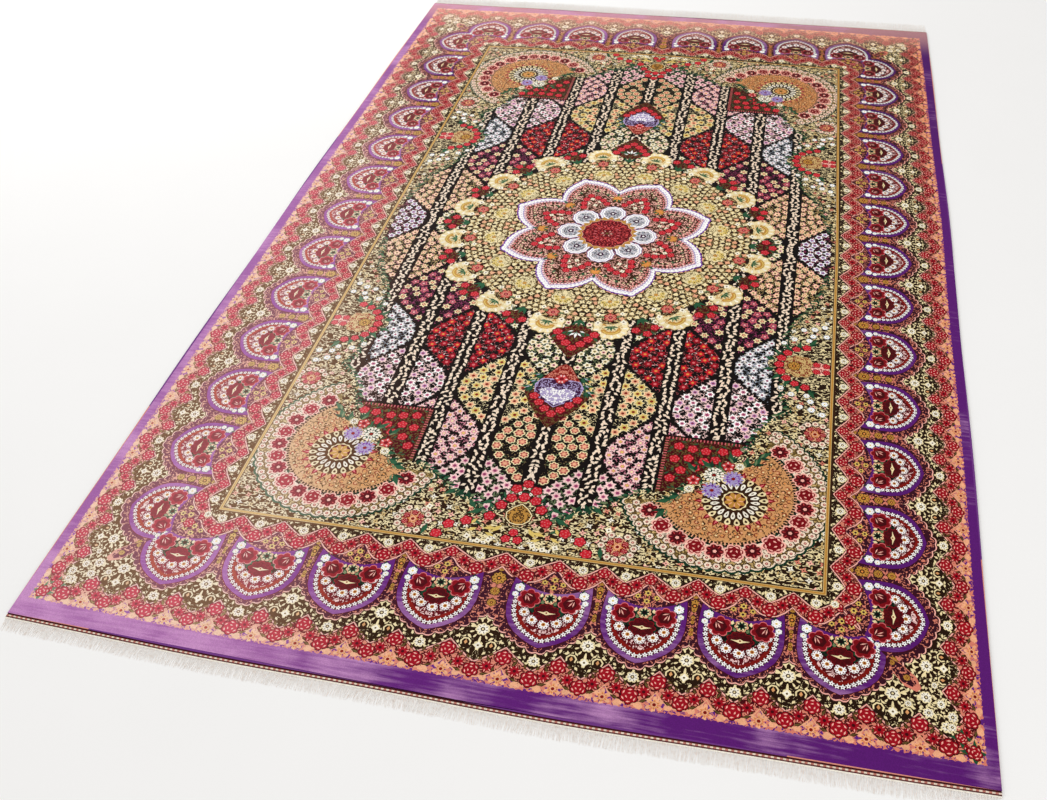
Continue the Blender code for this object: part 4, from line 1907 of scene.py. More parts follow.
class Effects:
    """The shader node groups that the finishes share."""

    @staticmethod
    def sprigs() -> NodeTree:
        """Small curled leaves strewn over a ground, as a mask.

        Returns:
            The node group.
        """
        wiring, takes, gives = new_group(
            "sprigs", {"Vector": "Vector", "Size": "Float", "Cover": "Float"}, {"Mask": "Float"}
        )
        scale = wiring.math("DIVIDE", 1.0, takes["Size"])
        cells = wiring.add("VectorMath", {0: takes["Vector"], "Scale": scale}, operation="SCALE").outputs[0]
        bends = wiring.add("TexNoise", {"Vector": cells, "Scale": 1.1, "Detail": 0.0}, noise_dimensions="2D")
        bend = wiring.add("VectorMath", {0: bends.outputs["Color"], 1: (0.5, 0.5, 0.5)}, operation="SUBTRACT")
        bend = wiring.add("VectorMath", {0: bend.outputs[0], "Scale": 1.9}, operation="SCALE")
        bent = wiring.add("VectorMath", {0: cells, 1: bend.outputs[0]}, operation="ADD").outputs[0]
        leaves = wiring.add("TexVoronoi", {"Vector": bent, "Scale": 1.0}, voronoi_dimensions="2D")
        reach = wiring.math("SQRT", wiring.math("DIVIDE", takes["Cover"], math.pi))
        over = wiring.math("SUBTRACT", reach, leaves.outputs["Distance"])
        mask = wiring.ramp(over, -0.02, 0.05)
        some = wiring.ramp(takes["Cover"], 0.0, 0.03)
        wiring.join(wiring.math("MULTIPLY", mask, some), gives["Mask"])
        return wiring.tree

    @staticmethod
    def knots() -> NodeTree:
        """Rows of knots: a height, and a tone that differs from knot to knot, with painted shade in the gaps
        between knots.

        Returns:
            The node group.
        """
        wiring, takes, gives = new_group(
            "knots", {"Vector": "Vector", "Pitch": "Float"}, {"ToneAndShade": "Float", "Height": "Float"}
        )
        scale = wiring.math("DIVIDE", 1.0, takes["Pitch"])
        rows = wiring.add("VectorMath", {0: takes["Vector"], "Scale": scale}, operation="SCALE").outputs[0]
        parts = wiring.add("SeparateXYZ", {0: rows})
        bulges = []
        for place in parts.outputs[:2]:
            wave = wiring.math("SINE", wiring.math("MULTIPLY", place, math.pi))
            bulges.append(wiring.math("POWER", wiring.math("ABSOLUTE", wave), 0.4))
        bulge = wiring.math("MULTIPLY", *bulges)
        knot = wiring.add("VectorMath", {0: rows}, operation="FLOOR").outputs[0]
        lot = wiring.add("TexWhiteNoise", {"Vector": knot}, noise_dimensions="2D").outputs["Value"]
        # Painted shade: each knot lighter on its crown and darker in the gaps between knots.
        light = wiring.ramp(bulge, 0.0, 0.8, 0.9, 1.02)
        tone = wiring.math("ADD", wiring.ramp(lot, 0.0, 1.0, -0.1, 0.1), light)
        wiring.join(tone, gives["ToneAndShade"])
        wiring.join(wiring.math("ADD", bulge, wiring.math("MULTIPLY", lot, 0.3)), gives["Height"])
        return wiring.tree

    @staticmethod
    def painted_nap_light() -> NodeTree:
        """Painted light of the silk pile: painted sheen where it leans to the light on the left side and at the
        far end, painted shade towards the right and the far end, and painted sheen streaks.

        Returns:
            The node group.
        """
        kinds = {"PaintedSheen": "Float", "FarSheen": "Float", "Depth": "Float", "Streaks": "Float"}
        wiring, takes, gives = new_group("painted_nap_light", {"Vector": "Vector"}, kinds)
        parts = wiring.add("SeparateXYZ", {0: takes["Vector"]})
        across, along = parts.outputs[0], parts.outputs[1]
        cloud = wiring.add("TexNoise", {"Vector": takes["Vector"], "Scale": 2.2, "Detail": 2.0}).outputs[0]
        # Painted sheen: lighter towards the left side and the far end, with cloudy edges.
        left = wiring.math("SUBTRACT", wiring.math("MULTIPLY", cloud, 0.2), across)
        left = wiring.math("MULTIPLY_ADD", along, -0.22, left)
        far = wiring.math("MULTIPLY_ADD", across, -0.35, wiring.math("MULTIPLY_ADD", cloud, 0.3, along))
        painted_sheen_share = wiring.math("MAXIMUM", wiring.ramp(left, 0.50, 0.78), wiring.ramp(far, 1.10, 1.50))
        wiring.join(painted_sheen_share, gives["PaintedSheen"])
        # Painted sheen that lightens the far end.
        wiring.join(wiring.ramp(along, 1.10, 1.28), gives["FarSheen"])
        # Painted shade: a gamma that darkens the pile towards the right side and the far end.
        depth = wiring.ramp(across, -0.6, 0.7, 1.0, 1.2)
        depth = wiring.math("MULTIPLY_ADD", wiring.ramp(along, 0.1, 1.1), 0.16, depth)
        wiring.join(depth, gives["Depth"])
        # Painted sheen streaks along the rug, fewer near the right side.
        rows = wiring.add("Mapping", {"Vector": takes["Vector"], "Scale": (11.0, 150.0, 1.0)})
        sheen_streak = wiring.add(
            "TexNoise", {"Vector": rows.outputs[0], "Scale": 1.0, "Detail": 4.0, "Roughness": 0.6}
        )
        patch = wiring.add("TexNoise", {"Vector": takes["Vector"], "Scale": 7.0, "Detail": 3.0})
        patch = wiring.math("MULTIPLY", patch.outputs[0], 1.3)
        sheen_mottle = wiring.math("MULTIPLY_ADD", sheen_streak.outputs[0], 0.7, patch)
        near = wiring.ramp(wiring.math("MULTIPLY", along, -1.0), 1.1, 1.25)
        sheen_mottle = wiring.math("MULTIPLY_ADD", wiring.math("MULTIPLY", across, near), -0.22, sheen_mottle)
        right = wiring.math("SUBTRACT", wiring.ramp(across, 0.5, 0.75), near)
        sheen_mottle = wiring.math("MULTIPLY_ADD", wiring.math("MAXIMUM", right, 0.0), -0.3, sheen_mottle)
        wiring.join(wiring.ramp(sheen_mottle, 0.84, 1.30), gives["Streaks"])
        return wiring.tree


def principled(name: str) -> tuple[Material, Wiring, Node]:
    """A new material, its wiring and its shader.

    Args:
        name: the material's name.

    Returns:
        The three of them.
    """
    material = bpy.data.materials.new(name)
    material.use_nodes = True
    return material, Wiring(material.node_tree), material.node_tree.nodes["Principled BSDF"]


@dataclass(frozen=True)
class KnottedSilk:
    """Cut silk pile whose dye comes from the chart, with painted sheen, painted shade and painted sheen streaks
    laid over the dye.
    """

    knot_pitch: float = 0.00125
    sprig_size: float = 5.2
    coarse_stretch: tuple[float, float, float, float] = (0.64, 1.20, 1.0, 1.0)
    roughness: float = 0.62
    sheen: float = 0.02
    sheen_roughness: float = 0.38
    # Painted sheen: its colour, and how far it lightens the left side and the far end.
    painted_sheen_colour: tuple[float, float, float, float] = (0.95, 0.50, 0.38, 1.0)
    most_sheen_lift: float = 0.40
    most_painted_sheen: float = 0.11
    most_far_sheen: float = 0.42
    # Painted sheen streaks: their share and colour.
    sheen_streak_share: float = 0.7
    sheen_streak: tuple[float, float, float, float] = (0.70, 0.36, 0.66, 1.0)

    def material(self, effects: dict[str, NodeTree]) -> Material:
        """Makes the material.

        Args:
            effects: the shared node groups by name.

        Returns:
            The material.
        """
        material, wiring, shader = principled("knotted_silk")
        place = wiring.add("TexCoord").outputs["Object"]
        squares = wiring.add("Attribute", attribute_name="squares").outputs["Vector"]
        dye = wiring.add("Attribute", attribute_name="dye")
        sprig = wiring.add("Attribute", attribute_name="sprig")
        sprigs = wiring.add("Group", node_tree=effects["sprigs"])
        coarse = wiring.math("GREATER_THAN", sprig.outputs["Alpha"], 0.495)
        cover = wiring.math("SUBTRACT", wiring.math("MULTIPLY", sprig.outputs["Alpha"], 2.0), coarse)
        wiring.join(cover, sprigs.inputs["Cover"])
        stretch = wiring.blend(coarse, (1.0, 1.0, 1.0, 1.0), self.coarse_stretch)
        drawn_out = wiring.add("VectorMath", {0: squares, 1: stretch}, operation="MULTIPLY").outputs[0]
        wiring.join(drawn_out, sprigs.inputs["Vector"])
        sprigs.inputs["Size"].default_value = self.sprig_size
        colour = wiring.blend(sprigs.outputs["Mask"], dye.outputs["Color"], sprig.outputs["Color"])
        painted_nap_light = wiring.add("Group", {"Vector": place}, node_tree=effects["painted_nap_light"])
        # Painted shade and sheen: a gamma that darkens the right and far pile and lightens the left and far
        # pile.
        painted_light_gamma = wiring.math("MULTIPLY_ADD", painted_nap_light.outputs["PaintedSheen"], -self.most_sheen_lift, painted_nap_light.outputs["Depth"])
        colour = wiring.add("Gamma", {"Color": colour, "Gamma": painted_light_gamma}).outputs[0]
        # Painted sheen: the left side and the far end mixed towards a pale sheen colour.
        painted_sheen_share = wiring.math("MULTIPLY", painted_nap_light.outputs["FarSheen"], self.most_far_sheen)
        painted_sheen_share = wiring.math("MULTIPLY_ADD", painted_nap_light.outputs["PaintedSheen"], self.most_painted_sheen, painted_sheen_share)
        colour = wiring.blend(painted_sheen_share, colour, self.painted_sheen_colour)
        # Painted sheen streaks on the band and the shield.
        sheen_streaks = wiring.math("MULTIPLY", painted_nap_light.outputs["Streaks"], dye.outputs["Alpha"])
        sheen_streaks = wiring.math("MULTIPLY", sheen_streaks, self.sheen_streak_share)
        colour = wiring.blend(sheen_streaks, colour, self.sheen_streak)
        knots = wiring.add("Group", {"Vector": place, "Pitch": self.knot_pitch}, node_tree=effects["knots"])
        wiring.join(wiring.toned(colour, knots.outputs["ToneAndShade"]), shader.inputs["Base Color"])
        wiring.bump(shader, knots.outputs["Height"], 0.25, 0.0003)
        shader.inputs["Roughness"].default_value = self.roughness
        shader.inputs["Sheen Weight"].default_value = self.sheen
        shader.inputs["Sheen Roughness"].default_value = self.sheen_roughness
        shader.inputs["Specular IOR Level"].default_value = 0.06
        return material


@dataclass(frozen=True)
class WarpSilk:
    """Undyed twisted silk threads."""

    colour: tuple[float, float, float, float] = (0.97, 0.94, 0.91, 1.0)
    shade: tuple[float, float, float, float] = (0.88, 0.80, 0.74, 1.0)
    roughness: float = 0.7

    def material(self) -> Material:
        """Makes the material.

        Returns:
            The material.
        """
        material, wiring, shader = principled("warp_silk")
        place = wiring.add("TexCoord").outputs["Object"]
        locks = wiring.add("TexNoise", {"Vector": place, "Scale": 180.0, "Detail": 2.0})
        colour = wiring.blend(wiring.ramp(locks.outputs[0], 0.42, 0.72), self.colour, self.shade)
        twist = wiring.add(
            "TexWave", {"Vector": place, "Scale": 420.0, "Distortion": 1.5}, bands_direction="DIAGONAL"
        )
        wiring.join(colour, shader.inputs["Base Color"])
        wiring.bump(shader, twist.outputs[1], 0.3, 0.0002)
        shader.inputs["Roughness"].default_value = self.roughness
        shader.inputs["Sheen Weight"].default_value = 0.2
        return material


@dataclass(frozen=True)
class WovenCloth:
    """Flat weave of the end strips and of the rug's back, dyed from the chart."""

    pitch: float = 0.0016
    roughness: float = 0.8

    def material(self, effects: dict[str, NodeTree]) -> Material:
        """Makes the material.

        Args:
            effects: the shared node groups by name.

        Returns:
            The material.
        """
        material, wiring, shader = principled("woven_cloth")
        place = wiring.add("TexCoord").outputs["Object"]
        dye = wiring.add("Attribute", attribute_name="dye")
        knots = wiring.add("Group", {"Vector": place, "Pitch": self.pitch}, node_tree=effects["knots"])
        # The knots' tone includes painted shade in the gaps between knots.
        colour = wiring.toned(dye.outputs["Color"], knots.outputs["ToneAndShade"])
        wiring.join(colour, shader.inputs["Base Color"])
        wiring.bump(shader, knots.outputs["Height"], 0.5, 0.0004)
        shader.inputs["Roughness"].default_value = self.roughness
        return material


# ---- Pieces ----


def put(name: str, data: ID) -> Object:
    """Puts a mesh, a light or a camera into the scene.

    Args:
        name: the object's name.
        data: what it shows.

    Returns:
        The object.
    """
    thing = bpy.data.objects.new(name, data)
    bpy.context.scene.collection.objects.link(thing)
    return thing


def as_object(name: str, mesh: BMesh, material: Material) -> Object:
    """Makes an object from a bmesh, which is freed.

    Args:
        name: the object's name.
        mesh: its shape.
        material: its finish.

    Returns:
        The object, in the scene.
    """
    data = bpy.data.meshes.new(name)
    mesh.to_mesh(data)
    mesh.free()
    data.materials.append(material)
    return put(name, data)


def face_middles(piece: Object) -> np.ndarray:
    """The middle of each face, as rows of metres.

    Args:
        piece: the piece.

    Returns:
        The rows, in the order of the faces.
    """
    middles = np.empty(len(piece.data.polygons) * 3)
    piece.data.polygons.foreach_get("center", middles)
    return middles.reshape(-1, 3)


def as_piece(name: str, mesh: BMesh, material: Material) -> Object:
    """Makes a piece of the rug from a bmesh, which is freed.

    Args:
        name: the piece's name.
        mesh: its shape.
        material: its finish.

    Returns:
        The piece, riding on the rug.
    """
    piece = as_object(name, mesh, material)
    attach(piece, "root")
    return piece


def dye_faces(piece: Object, name: str, colours: np.ndarray) -> None:
    """Writes one colour for each face of a piece, given as rows of light and alpha.

    Args:
        piece: the piece.
        name: the name of its colour layer.
        colours: a row for each face.
    """
    data = piece.data
    counts = np.empty(len(data.polygons), dtype=np.int32)
    data.polygons.foreach_get("loop_total", counts)
    layer = data.color_attributes.new(name, "BYTE_COLOR", "CORNER")
    layer.data.foreach_set("color", np.repeat(colours, counts, axis=0).astype(np.float32).ravel())


@dataclass(frozen=True)
class BakeMap:
    """How a pile layer's two halves lie side by side on its own map."""

    long_way: int
    long_span: float
    start: float
    span: float

    FILLED = 0.98
    SPARE = 0.99

    def read(self, squares: np.ndarray, half: np.ndarray) -> np.ndarray:
        """The map's places for rows of squares in the first or second half.

        Args:
            squares: rows of squares across and along.
            half: 0 or 1 for each row, the half that it is in.

        Returns:
            Rows of places on the map.
        """
        u = squares[:, self.long_way] / self.long_span
        v = np.abs(self.start - squares[:, 1 - self.long_way]) / self.span
        return np.stack([u, self.FILLED * (half + v) / 2], axis=1)


@dataclass
class PileLayer:
    """One stretch of the cut pile: two mirrored halves, inlaid in their dyes."""

    name: str
    halves: tuple[Panel, Panel]
    layout: Layout
    bake_map: BakeMap
    rim: Dye
    top: float = 0.0040
    depth: float = 0.0008
    rim_drop: float = 0.0007
    rim_squares: float = 1.6
    unevenness: float = 0.00018

    def height(self, spots: np.ndarray) -> np.ndarray:
        """How high the pile stands at rows of squares.

        Args:
            spots: rows of squares across and along.

        Returns:
            A height in metres for each row.
        """
        edge = np.minimum(HALF_ACROSS - np.abs(spots[:, 0]), HALF_ALONG - np.abs(spots[:, 1]))
        drop = self.rim_drop * (1 - np.clip(edge / self.rim_squares, 0, 1)) ** 2
        waves = np.sin(spots[:, 0] / 61.0 + 0.7 * np.sin(spots[:, 1] / 83.0)) * np.sin(spots[:, 1] / 47.0)
        return self.top - self.unevenness * (1 - waves) / 2 - drop

    def build(self, material: Material) -> Object:
        """Builds the layer.

        Args:
            material: its finish.

        Returns:
            The piece.
        """
        both = self.halves[0].joined(self.halves[1])
        corners = both.spots[both.faces]
        a, b = corners[:, 1] - corners[:, 0], corners[:, 2] - corners[:, 0]
        area = a[:, 0] * b[:, 1] - a[:, 1] * b[:, 0]
        faces = np.where(area[:, None] > 0, both.faces, both.faces[:, ::-1])
        places = np.column_stack([self.layout.place(both.spots), self.height(both.spots)])
        data = bpy.data.meshes.new(self.name + "_inlay")
        data.from_pydata(places.tolist(), [], faces.tolist())
        squares = np.column_stack([np.abs(both.spots), np.zeros(len(both.spots))])
        data.attributes.new("squares", "FLOAT_VECTOR", "POINT").data.foreach_set("vector", squares.ravel())
        mesh = bmesh.new()
        mesh.from_mesh(data)
        bpy.data.meshes.remove(data)
        self.close(mesh)
        piece = as_piece(self.name, mesh, material)
        self.dress(piece, both)
        return piece

    def close(self, mesh: BMesh) -> None:
        """Joins the two halves and gives the layer its walls and its underside.

        Args:
            mesh: the inlaid top.
        """
        open_edges = [edge for edge in mesh.edges if edge.is_boundary]
        rim = list({vertex for edge in open_edges for vertex in edge.verts})
        bmesh.ops.remove_doubles(mesh, verts=rim, dist=0.00001)
        open_edges = [edge for edge in mesh.edges if edge.is_boundary]
        walls = bmesh.ops.extrude_edge_only(mesh, edges=open_edges)["geom"]
        lower = [item for item in walls if isinstance(item, BMVert)]
        foot = [item for item in walls if isinstance(item, BMEdge) and item.is_boundary]
        for vertex in lower:
            vertex.co.z = self.top - self.depth
        bmesh.ops.edgeloop_fill(mesh, edges=foot)
        bmesh.ops.recalc_face_normals(mesh, faces=mesh.faces[:])

    def dress(self, piece: Object, both: Panel) -> None:
        """Writes the dyes and the map.

        Args:
            piece: the built piece, whose first faces are those of the inlay.
            both: the inlay.
        """
        data, count = piece.data, len(both.faces)
        looks = []
        for yarn in YARNS:
            ground = yarn if isinstance(yarn, Ground) else Ground(yarn)
            looks.append(ground.looks())
        looks = np.array(looks)[both.yarns]
        looks[:, :3] *= both.tones[:, None]
        rest = len(data.polygons) - count
        plain = np.tile([*self.rim.linear(), 0.0, *self.rim.linear(), 0.0], (rest, 1))
        looks = np.clip(np.concatenate([looks, plain]), 0, 1)
        # The dye layer's alpha holds the share of painted sheen streaks.
        dye_faces(piece, "dye", looks[:, :4])
        dye_faces(piece, "sprig", looks[:, 4:])
        corner_spots = np.empty(len(data.loops), dtype=np.int32)
        data.loops.foreach_get("vertex_index", corner_spots)
        squares = np.empty(len(data.vertices) * 3, dtype=np.float32)
        data.attributes["squares"].data.foreach_get("vector", squares)
        squares = squares.reshape(-1, 3)[corner_spots]
        half = np.repeat((np.arange(count) >= len(self.halves[0].faces)).astype(float), 3)
        extra = len(data.loops) - 3 * count
        places = self.bake_map.read(squares, np.concatenate([half, np.zeros(extra)]))
        if extra:
            places[3 * count :, 1] = self.bake_map.SPARE
        data.uv_layers.new(name="OFBake").data.foreach_set("uv", places.astype(np.float32).ravel())


@dataclass
class Foundation:
    """The knotted cloth under the pile: warps and wefts, with the selvedges at its sides."""

    layout: Layout
    thickness: float = 0.0032
    cells_across: int = 32
    cells_along: int = 48
    bands: tuple[tuple[float, Dye], ...] = (
        (2.0, Dye.WINE), (16.0, Dye.PURPLE), (30.0, Dye.SALMON), (52.0, Dye.DUSTY), (84.0, Dye.BROWN),
        (150.0, Dye.PLUM), (188.0, Dye.UMBER), (200.0, Dye.GOLD), (260.0, Dye.BROWN), (2000.0, Dye.UMBER),
    )

    def build(self, material: Material) -> Object:
        """Builds the cloth.

        Args:
            material: its finish.

        Returns:
            The piece.
        """
        mesh = bmesh.new()
        bmesh.ops.create_grid(mesh, x_segments=self.cells_across, y_segments=self.cells_along, size=1.0)
        spots = np.array([(v.co.x * HALF_ACROSS, v.co.y * HALF_ALONG) for v in mesh.verts])
        for vertex, place in zip(mesh.verts, self.layout.place(spots)):
            vertex.co.xy = place
        raised = bmesh.ops.extrude_face_region(mesh, geom=mesh.faces[:], use_keep_orig=True)
        lifted = [item for item in raised["geom"] if isinstance(item, BMVert)]
        bmesh.ops.translate(mesh, verts=lifted, vec=(0.0, 0.0, self.thickness))
        bmesh.ops.recalc_face_normals(mesh, faces=mesh.faces[:])
        piece = as_piece("foundation", mesh, material)
        self.dress(piece)
        return piece

    def dress(self, piece: Object) -> None:
        """Dyes the cloth in muted bands, as the knots show on a rug's back.

        Args:
            piece: the built cloth.
        """
        off = np.abs(face_middles(piece)[:, :2] - self.layout.middle)
        depth = np.minimum(self.layout.half_width - off[:, 0], self.layout.half_length - off[:, 1])
        limits = np.array([limit for limit, _ in self.bands]) * self.layout.half_width / HALF_ACROSS
        dyes = np.array([(*dye.linear(), 1.0) for _, dye in self.bands])
        colours = dyes[np.searchsorted(limits, np.clip(depth, 0, 2.0))]
        dye_faces(piece, "dye", colours)


@dataclass
class WovenEnd:
    """The narrow woven strip past one end of the pile: a dark pick, a pale stitched core, a dark pick."""

    name: str
    layout: Layout
    far: bool
    start: float = 0.0003
    width: float = 0.009
    height: float = 0.0021
    cells_along: int = 360
    profile: tuple[tuple[float, float, Dye], ...] = (
        (0.0, 0.55, Dye.WINE), (0.06, 0.70, Dye.WINE), (0.14, 0.60, Dye.WINE), (0.24, 0.85, Dye.SHELL),
        (0.36, 1.0, Dye.SHELL), (0.48, 0.80, Dye.SHELL), (0.52, 0.60, Dye.WINE), (0.64, 0.80, Dye.WINE),
        (0.78, 0.60, Dye.IVORY), (1.0, 0.35, Dye.IVORY),
    )

    def build(self, material: Material) -> Object:
        """Builds the strip.

        Args:
            material: its finish.

        Returns:
            The piece.
        """
        rows = len(self.profile) - 1
        mesh = bmesh.new()
        bmesh.ops.create_grid(mesh, x_segments=self.cells_along, y_segments=rows, size=1.0)
        shares = [round((vertex.co.y + 1) / 2 * rows) for vertex in mesh.verts]
        across = np.array([vertex.co.x for vertex in mesh.verts])
        outward = np.array([self.start + self.width * self.profile[row][0] for row in shares])
        places = self.layout.end_line(self.far, across, outward)
        for vertex, row, place in zip(mesh.verts, shares, places):
            vertex.co = (*place, self.height * self.profile[row][1])
        open_edges = [edge for edge in mesh.edges if edge.is_boundary]
        walls = bmesh.ops.extrude_edge_only(mesh, edges=open_edges)["geom"]
        for item in walls:
            if isinstance(item, BMVert):
                item.co.z = 0.0
        foot = [item for item in walls if isinstance(item, BMEdge) and item.is_boundary]
        bmesh.ops.edgeloop_fill(mesh, edges=foot)
        bmesh.ops.recalc_face_normals(mesh, faces=mesh.faces[:])
        piece = as_piece(self.name, mesh, material)
        self.dress(piece)
        return piece

    def dress(self, piece: Object) -> None:
        """Dyes the strip's picks, and the stitches of its core.

        Args:
            piece: the built strip.
        """
        middles = face_middles(piece)
        across = (middles[:, 0] - self.layout.middle[0]) / self.layout.half_width
        line = self.layout.end_line(self.far, across, np.zeros(len(across)))[:, 1]
        share = (np.abs(middles[:, 1] - line) - self.start) / self.width
        row = np.searchsorted([step[0] for step in self.profile][1:-1], share)
        dyes = np.array([(*step[2].linear(), 1.0) for step in self.profile])[row]
        stitch = np.floor((across + 1) * self.cells_along / 2) % 2 == 0
        core = (row >= 3) & (row < 6) & stitch
        dyes[core] = (*Dye.DUSTY.linear(), 1.0)
        dye_faces(piece, "dye", dyes)


@dataclass
class Fringe:
    """The loose warps at one end: fine locks that lie on the floor."""

    name: str
    layout: Layout
    far: bool
    length: float
    seed: int
    strands: int = 820
    start: float = 0.0086
    root_width: float = 0.0017
    tip_width: float = 0.0008
    steps: int = 5
    sway: float = 0.0024
    thickness: float = 0.0011
    overlap: float = 0.0007
    side_gap: float = 0.0002

    def build(self, material: Material) -> Object:
        """Builds the fringe.

        Args:
            material: its finish.

        Returns:
            The piece.
        """
        lock = bmesh.new()
        bmesh.ops.create_cone(lock, cap_ends=True, segments=3, radius1=0.5, radius2=0.5, depth=1.0)
        for step in range(1, self.steps):
            geometry = lock.verts[:] + lock.edges[:] + lock.faces[:]
            bmesh.ops.bisect_plane(
                lock, geom=geometry, plane_co=(0, 0, step / self.steps - 0.5), plane_no=(0, 0, 1)
            )
        template = bpy.data.meshes.new("lock")
        lock.to_mesh(template)
        lock.free()
        mesh = bmesh.new()
        for _ in range(self.strands):
            mesh.from_mesh(template)
        count = len(template.vertices)
        bpy.data.meshes.remove(template)
        self.lay(mesh, count)
        bmesh.ops.recalc_face_normals(mesh, faces=mesh.faces[:])
        return as_piece(self.name, mesh, material)

    def lay(self, mesh: BMesh, count: int) -> None:
        """Lays each lock in its place.

        Args:
            mesh: all the locks, each upright at the origin.
            count: how many vertices a lock has.
        """
        draw = np.random.default_rng(self.seed)
        shape = np.array([vertex.co for vertex in mesh.verts])
        lock = np.arange(len(shape)) // count
        root = (lock + 0.5) / self.strands * 2 - 1
        root = root + draw.uniform(-0.4, 0.4, self.strands)[lock] / self.strands
        length = self.length * (1 - 0.16 * draw.random(self.strands) ** 1.5)[lock]
        lean = draw.normal(0, 0.35, self.strands)[lock] + 0.9 * np.sin(root * 37.0)
        bend, phase = draw.uniform(0.4, 1.0, self.strands)[lock], draw.uniform(0, 6.28, self.strands)[lock]
        share = shape[:, 2] + 0.5
        width = self.root_width + (self.tip_width - self.root_width) * share
        sideways = self.sway * (lean * share**1.5 + 0.4 * bend * np.sin(5 * share + phase) * share)
        thick = self.thickness * (1 - 0.45 * share)
        layer = self.overlap * (lock % 2) * (1 - share) ** 2
        places = self.layout.end_line(self.far, root * 0.999, self.start + length * share)
        places[:, 0] += sideways + shape[:, 0] * width
        limit, middle = self.layout.half_width - self.side_gap, self.layout.middle[0]
        places[:, 0] = middle + np.clip(places[:, 0] - middle, -limit, limit)
        height = (shape[:, 1] + 0.25) / 0.75 * thick + layer
        for vertex, place, up in zip(mesh.verts, places, height):
            vertex.co = (*place, max(0.0, up))


# ---- Studio ----


@dataclass
class Studio:
    """The floor, the light and the camera of the photograph.

    The camera's place, axes and lens were fitted by a scratch program to the pile's four corners.
    """

    layout: Layout
    camera_place: tuple[float, float, float] = (0.3584, -2.2272, 1.4976)
    camera_axes: tuple[tuple[float, float, float], ...] = (
        (0.97474, -0.12388, 0.18582), (0.22095, 0.65608, -0.72162), (-0.03252, 0.74445, 0.66688),
    )
    lens: float = 38.103
    floor_size: float = 14.0
    floor_level: float = -0.0004

    def build(self) -> None:
        """Sets up the studio."""
        self.place_camera()
        self.lay_floor()
        self.hang_lights()

    def place_camera(self) -> None:
        """Puts the camera where the photograph was taken from."""
        camera = bpy.data.cameras.new("camera")
        camera.lens = self.lens
        camera.sensor_width = 36.0
        camera.clip_end = 60.0
        view = put("camera", camera)
        place = Vector(self.camera_place) + Vector((*self.layout.middle, 0.0))
        view.matrix_world = Matrix.Translation(place) @ Matrix(self.camera_axes).to_4x4()
        bpy.context.scene.camera = view

    def lay_floor(self) -> None:
        """Lays the pale floor."""
        mesh = bmesh.new()
        bmesh.ops.create_grid(mesh, x_segments=4, y_segments=4, size=self.floor_size / 2)
        bmesh.ops.translate(mesh, verts=mesh.verts, vec=(0, 0, self.floor_level))
        material, wiring, shader = principled("pale_floor")
        place = wiring.add("TexCoord").outputs["Object"]
        cloud = wiring.add("TexNoise", {"Vector": place, "Scale": 3.0, "Detail": 3.0})
        colour = wiring.blend(cloud.outputs[0], (0.93, 0.93, 0.925, 1.0), (0.96, 0.96, 0.955, 1.0))
        wiring.join(colour, shader.inputs["Base Color"])
        shader.inputs["Roughness"].default_value = 0.85
        floor = as_object("floor", mesh, material)

    def hang_lights(self) -> None:
        """Lights the rug softly from its far left, as the photograph's sheen shows."""
        world = bpy.data.worlds.new("studio")
        world.use_nodes = True
        background = world.node_tree.nodes["Background"]
        background.inputs["Color"].default_value = (1.0, 0.985, 0.97, 1.0)
        background.inputs["Strength"].default_value = 0.72
        bpy.context.scene.world = world
        for name, place, size, power in (
            ("window", (-2.6, 2.4, 2.6), 2.4, 62.0),
            ("fill", (1.8, -2.6, 3.2), 3.0, 26.0),
        ):
            light = bpy.data.lights.new(name, "AREA")
            light.shape = "DISK"
            light.size = size
            light.energy = power
            lamp = put(name, light)
            lamp.location = place
            lamp.rotation_euler = (-Vector(place)).to_track_quat("-Z", "Y").to_euler()
        bpy.context.scene.view_settings.view_transform = "Standard"


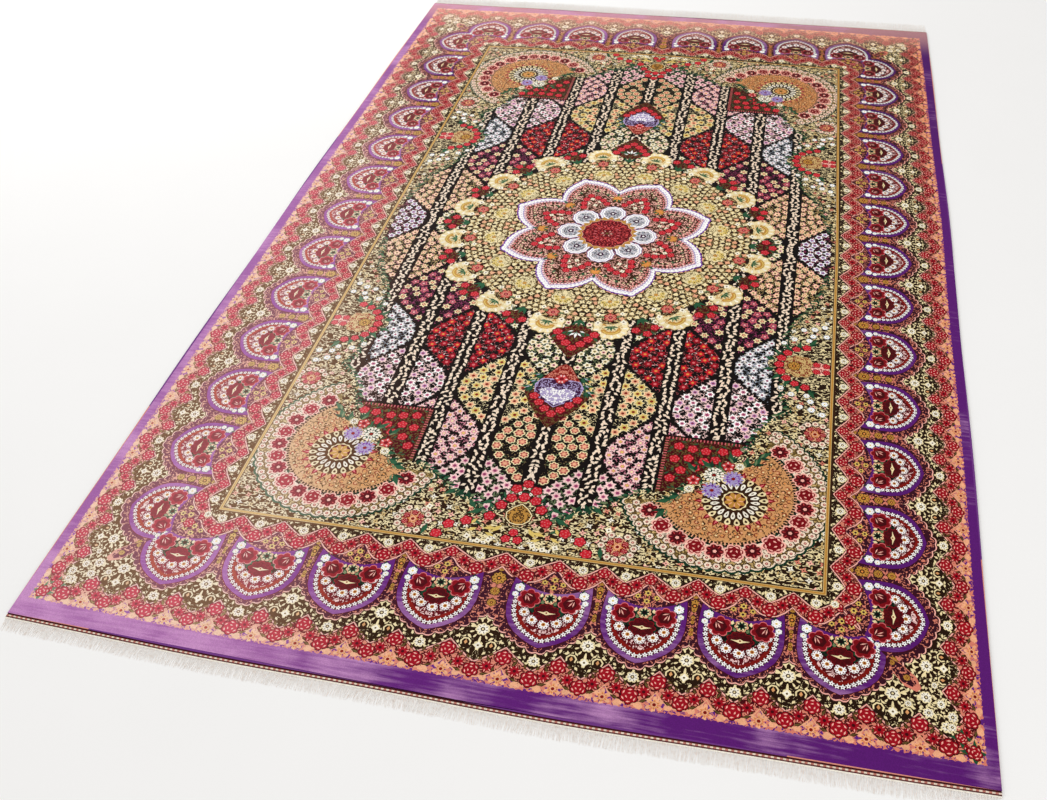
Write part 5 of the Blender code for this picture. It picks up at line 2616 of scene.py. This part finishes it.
def pile_layers(layout: Layout) -> Iterator[PileLayer]:
    """Charts the pattern's quarter and mirrors it into six stretches of pile.

    Args:
        layout: where the squares lie.

    Yields:
        Each stretch.
    """
    end_map = BakeMap(0, HALF_ACROSS, HALF_ALONG, Border.DEPTHS[-1])
    side_map = BakeMap(1, HALF_ALONG, HALF_ACROSS, Border.SIDE_DEPTHS[-1])
    field_map = BakeMap(1, Field.along, 0.0, Field.across)
    end = end_border()
    half = end.on_rug(end.chart().knot())
    yield PileLayer("border_far", (half, half.mirrored(True, False)), layout, end_map, Dye.PURPLE)
    yield PileLayer(
        "border_near", (half.mirrored(False, True), half.mirrored(True, True)), layout, end_map, Dye.PURPLE
    )
    side = side_border()
    half = side.on_rug(side.chart().knot())
    yield PileLayer("border_right", (half, half.mirrored(False, True)), layout, side_map, Dye.PURPLE)
    yield PileLayer(
        "border_left", (half.mirrored(True, False), half.mirrored(True, True)), layout, side_map, Dye.PURPLE
    )
    half = Field().chart().knot()
    yield PileLayer("field_right", (half, half.mirrored(False, True)), layout, field_map, Dye.BROWN)
    yield PileLayer(
        "field_left", (half.mirrored(True, False), half.mirrored(True, True)), layout, field_map, Dye.BROWN
    )


def report(piece: Object) -> None:
    """Logs a piece's size."""
    triangles = sum(len(face.vertices) - 2 for face in piece.data.polygons)
    log.info("%s: %d triangles", piece.name, triangles)


def main() -> None:
    """Builds the rug and its studio."""
    logging.basicConfig(level=logging.INFO, format="%(message)s")
    layout = Layout()
    effects = {"sprigs": Effects.sprigs(), "knots": Effects.knots(), "painted_nap_light": Effects.painted_nap_light()}
    silk, warp = KnottedSilk().material(effects), WarpSilk().material()
    woven = WovenCloth().material(effects)
    pieces = [layer.build(silk) for layer in pile_layers(layout)]
    ends = ((False, "near", NEAR_FRINGE, "fringe_near"), (True, "far", FAR_FRINGE, "fringe_far"))
    for far, word, length, node in ends:
        strip = WovenEnd("strip_" + word, layout, far).build(woven)
        fringe = Fringe("warps_" + word, layout, far, length, 21 + far).build(warp)
        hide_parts(node)
        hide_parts(node)
        pieces += [strip, fringe]
    foundation = Foundation(layout).build(woven)
    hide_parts("rug_body")
    for piece in [foundation, *pieces]:
        report(piece)
    Studio(layout).build()


if __name__ == "__main__":
    main()
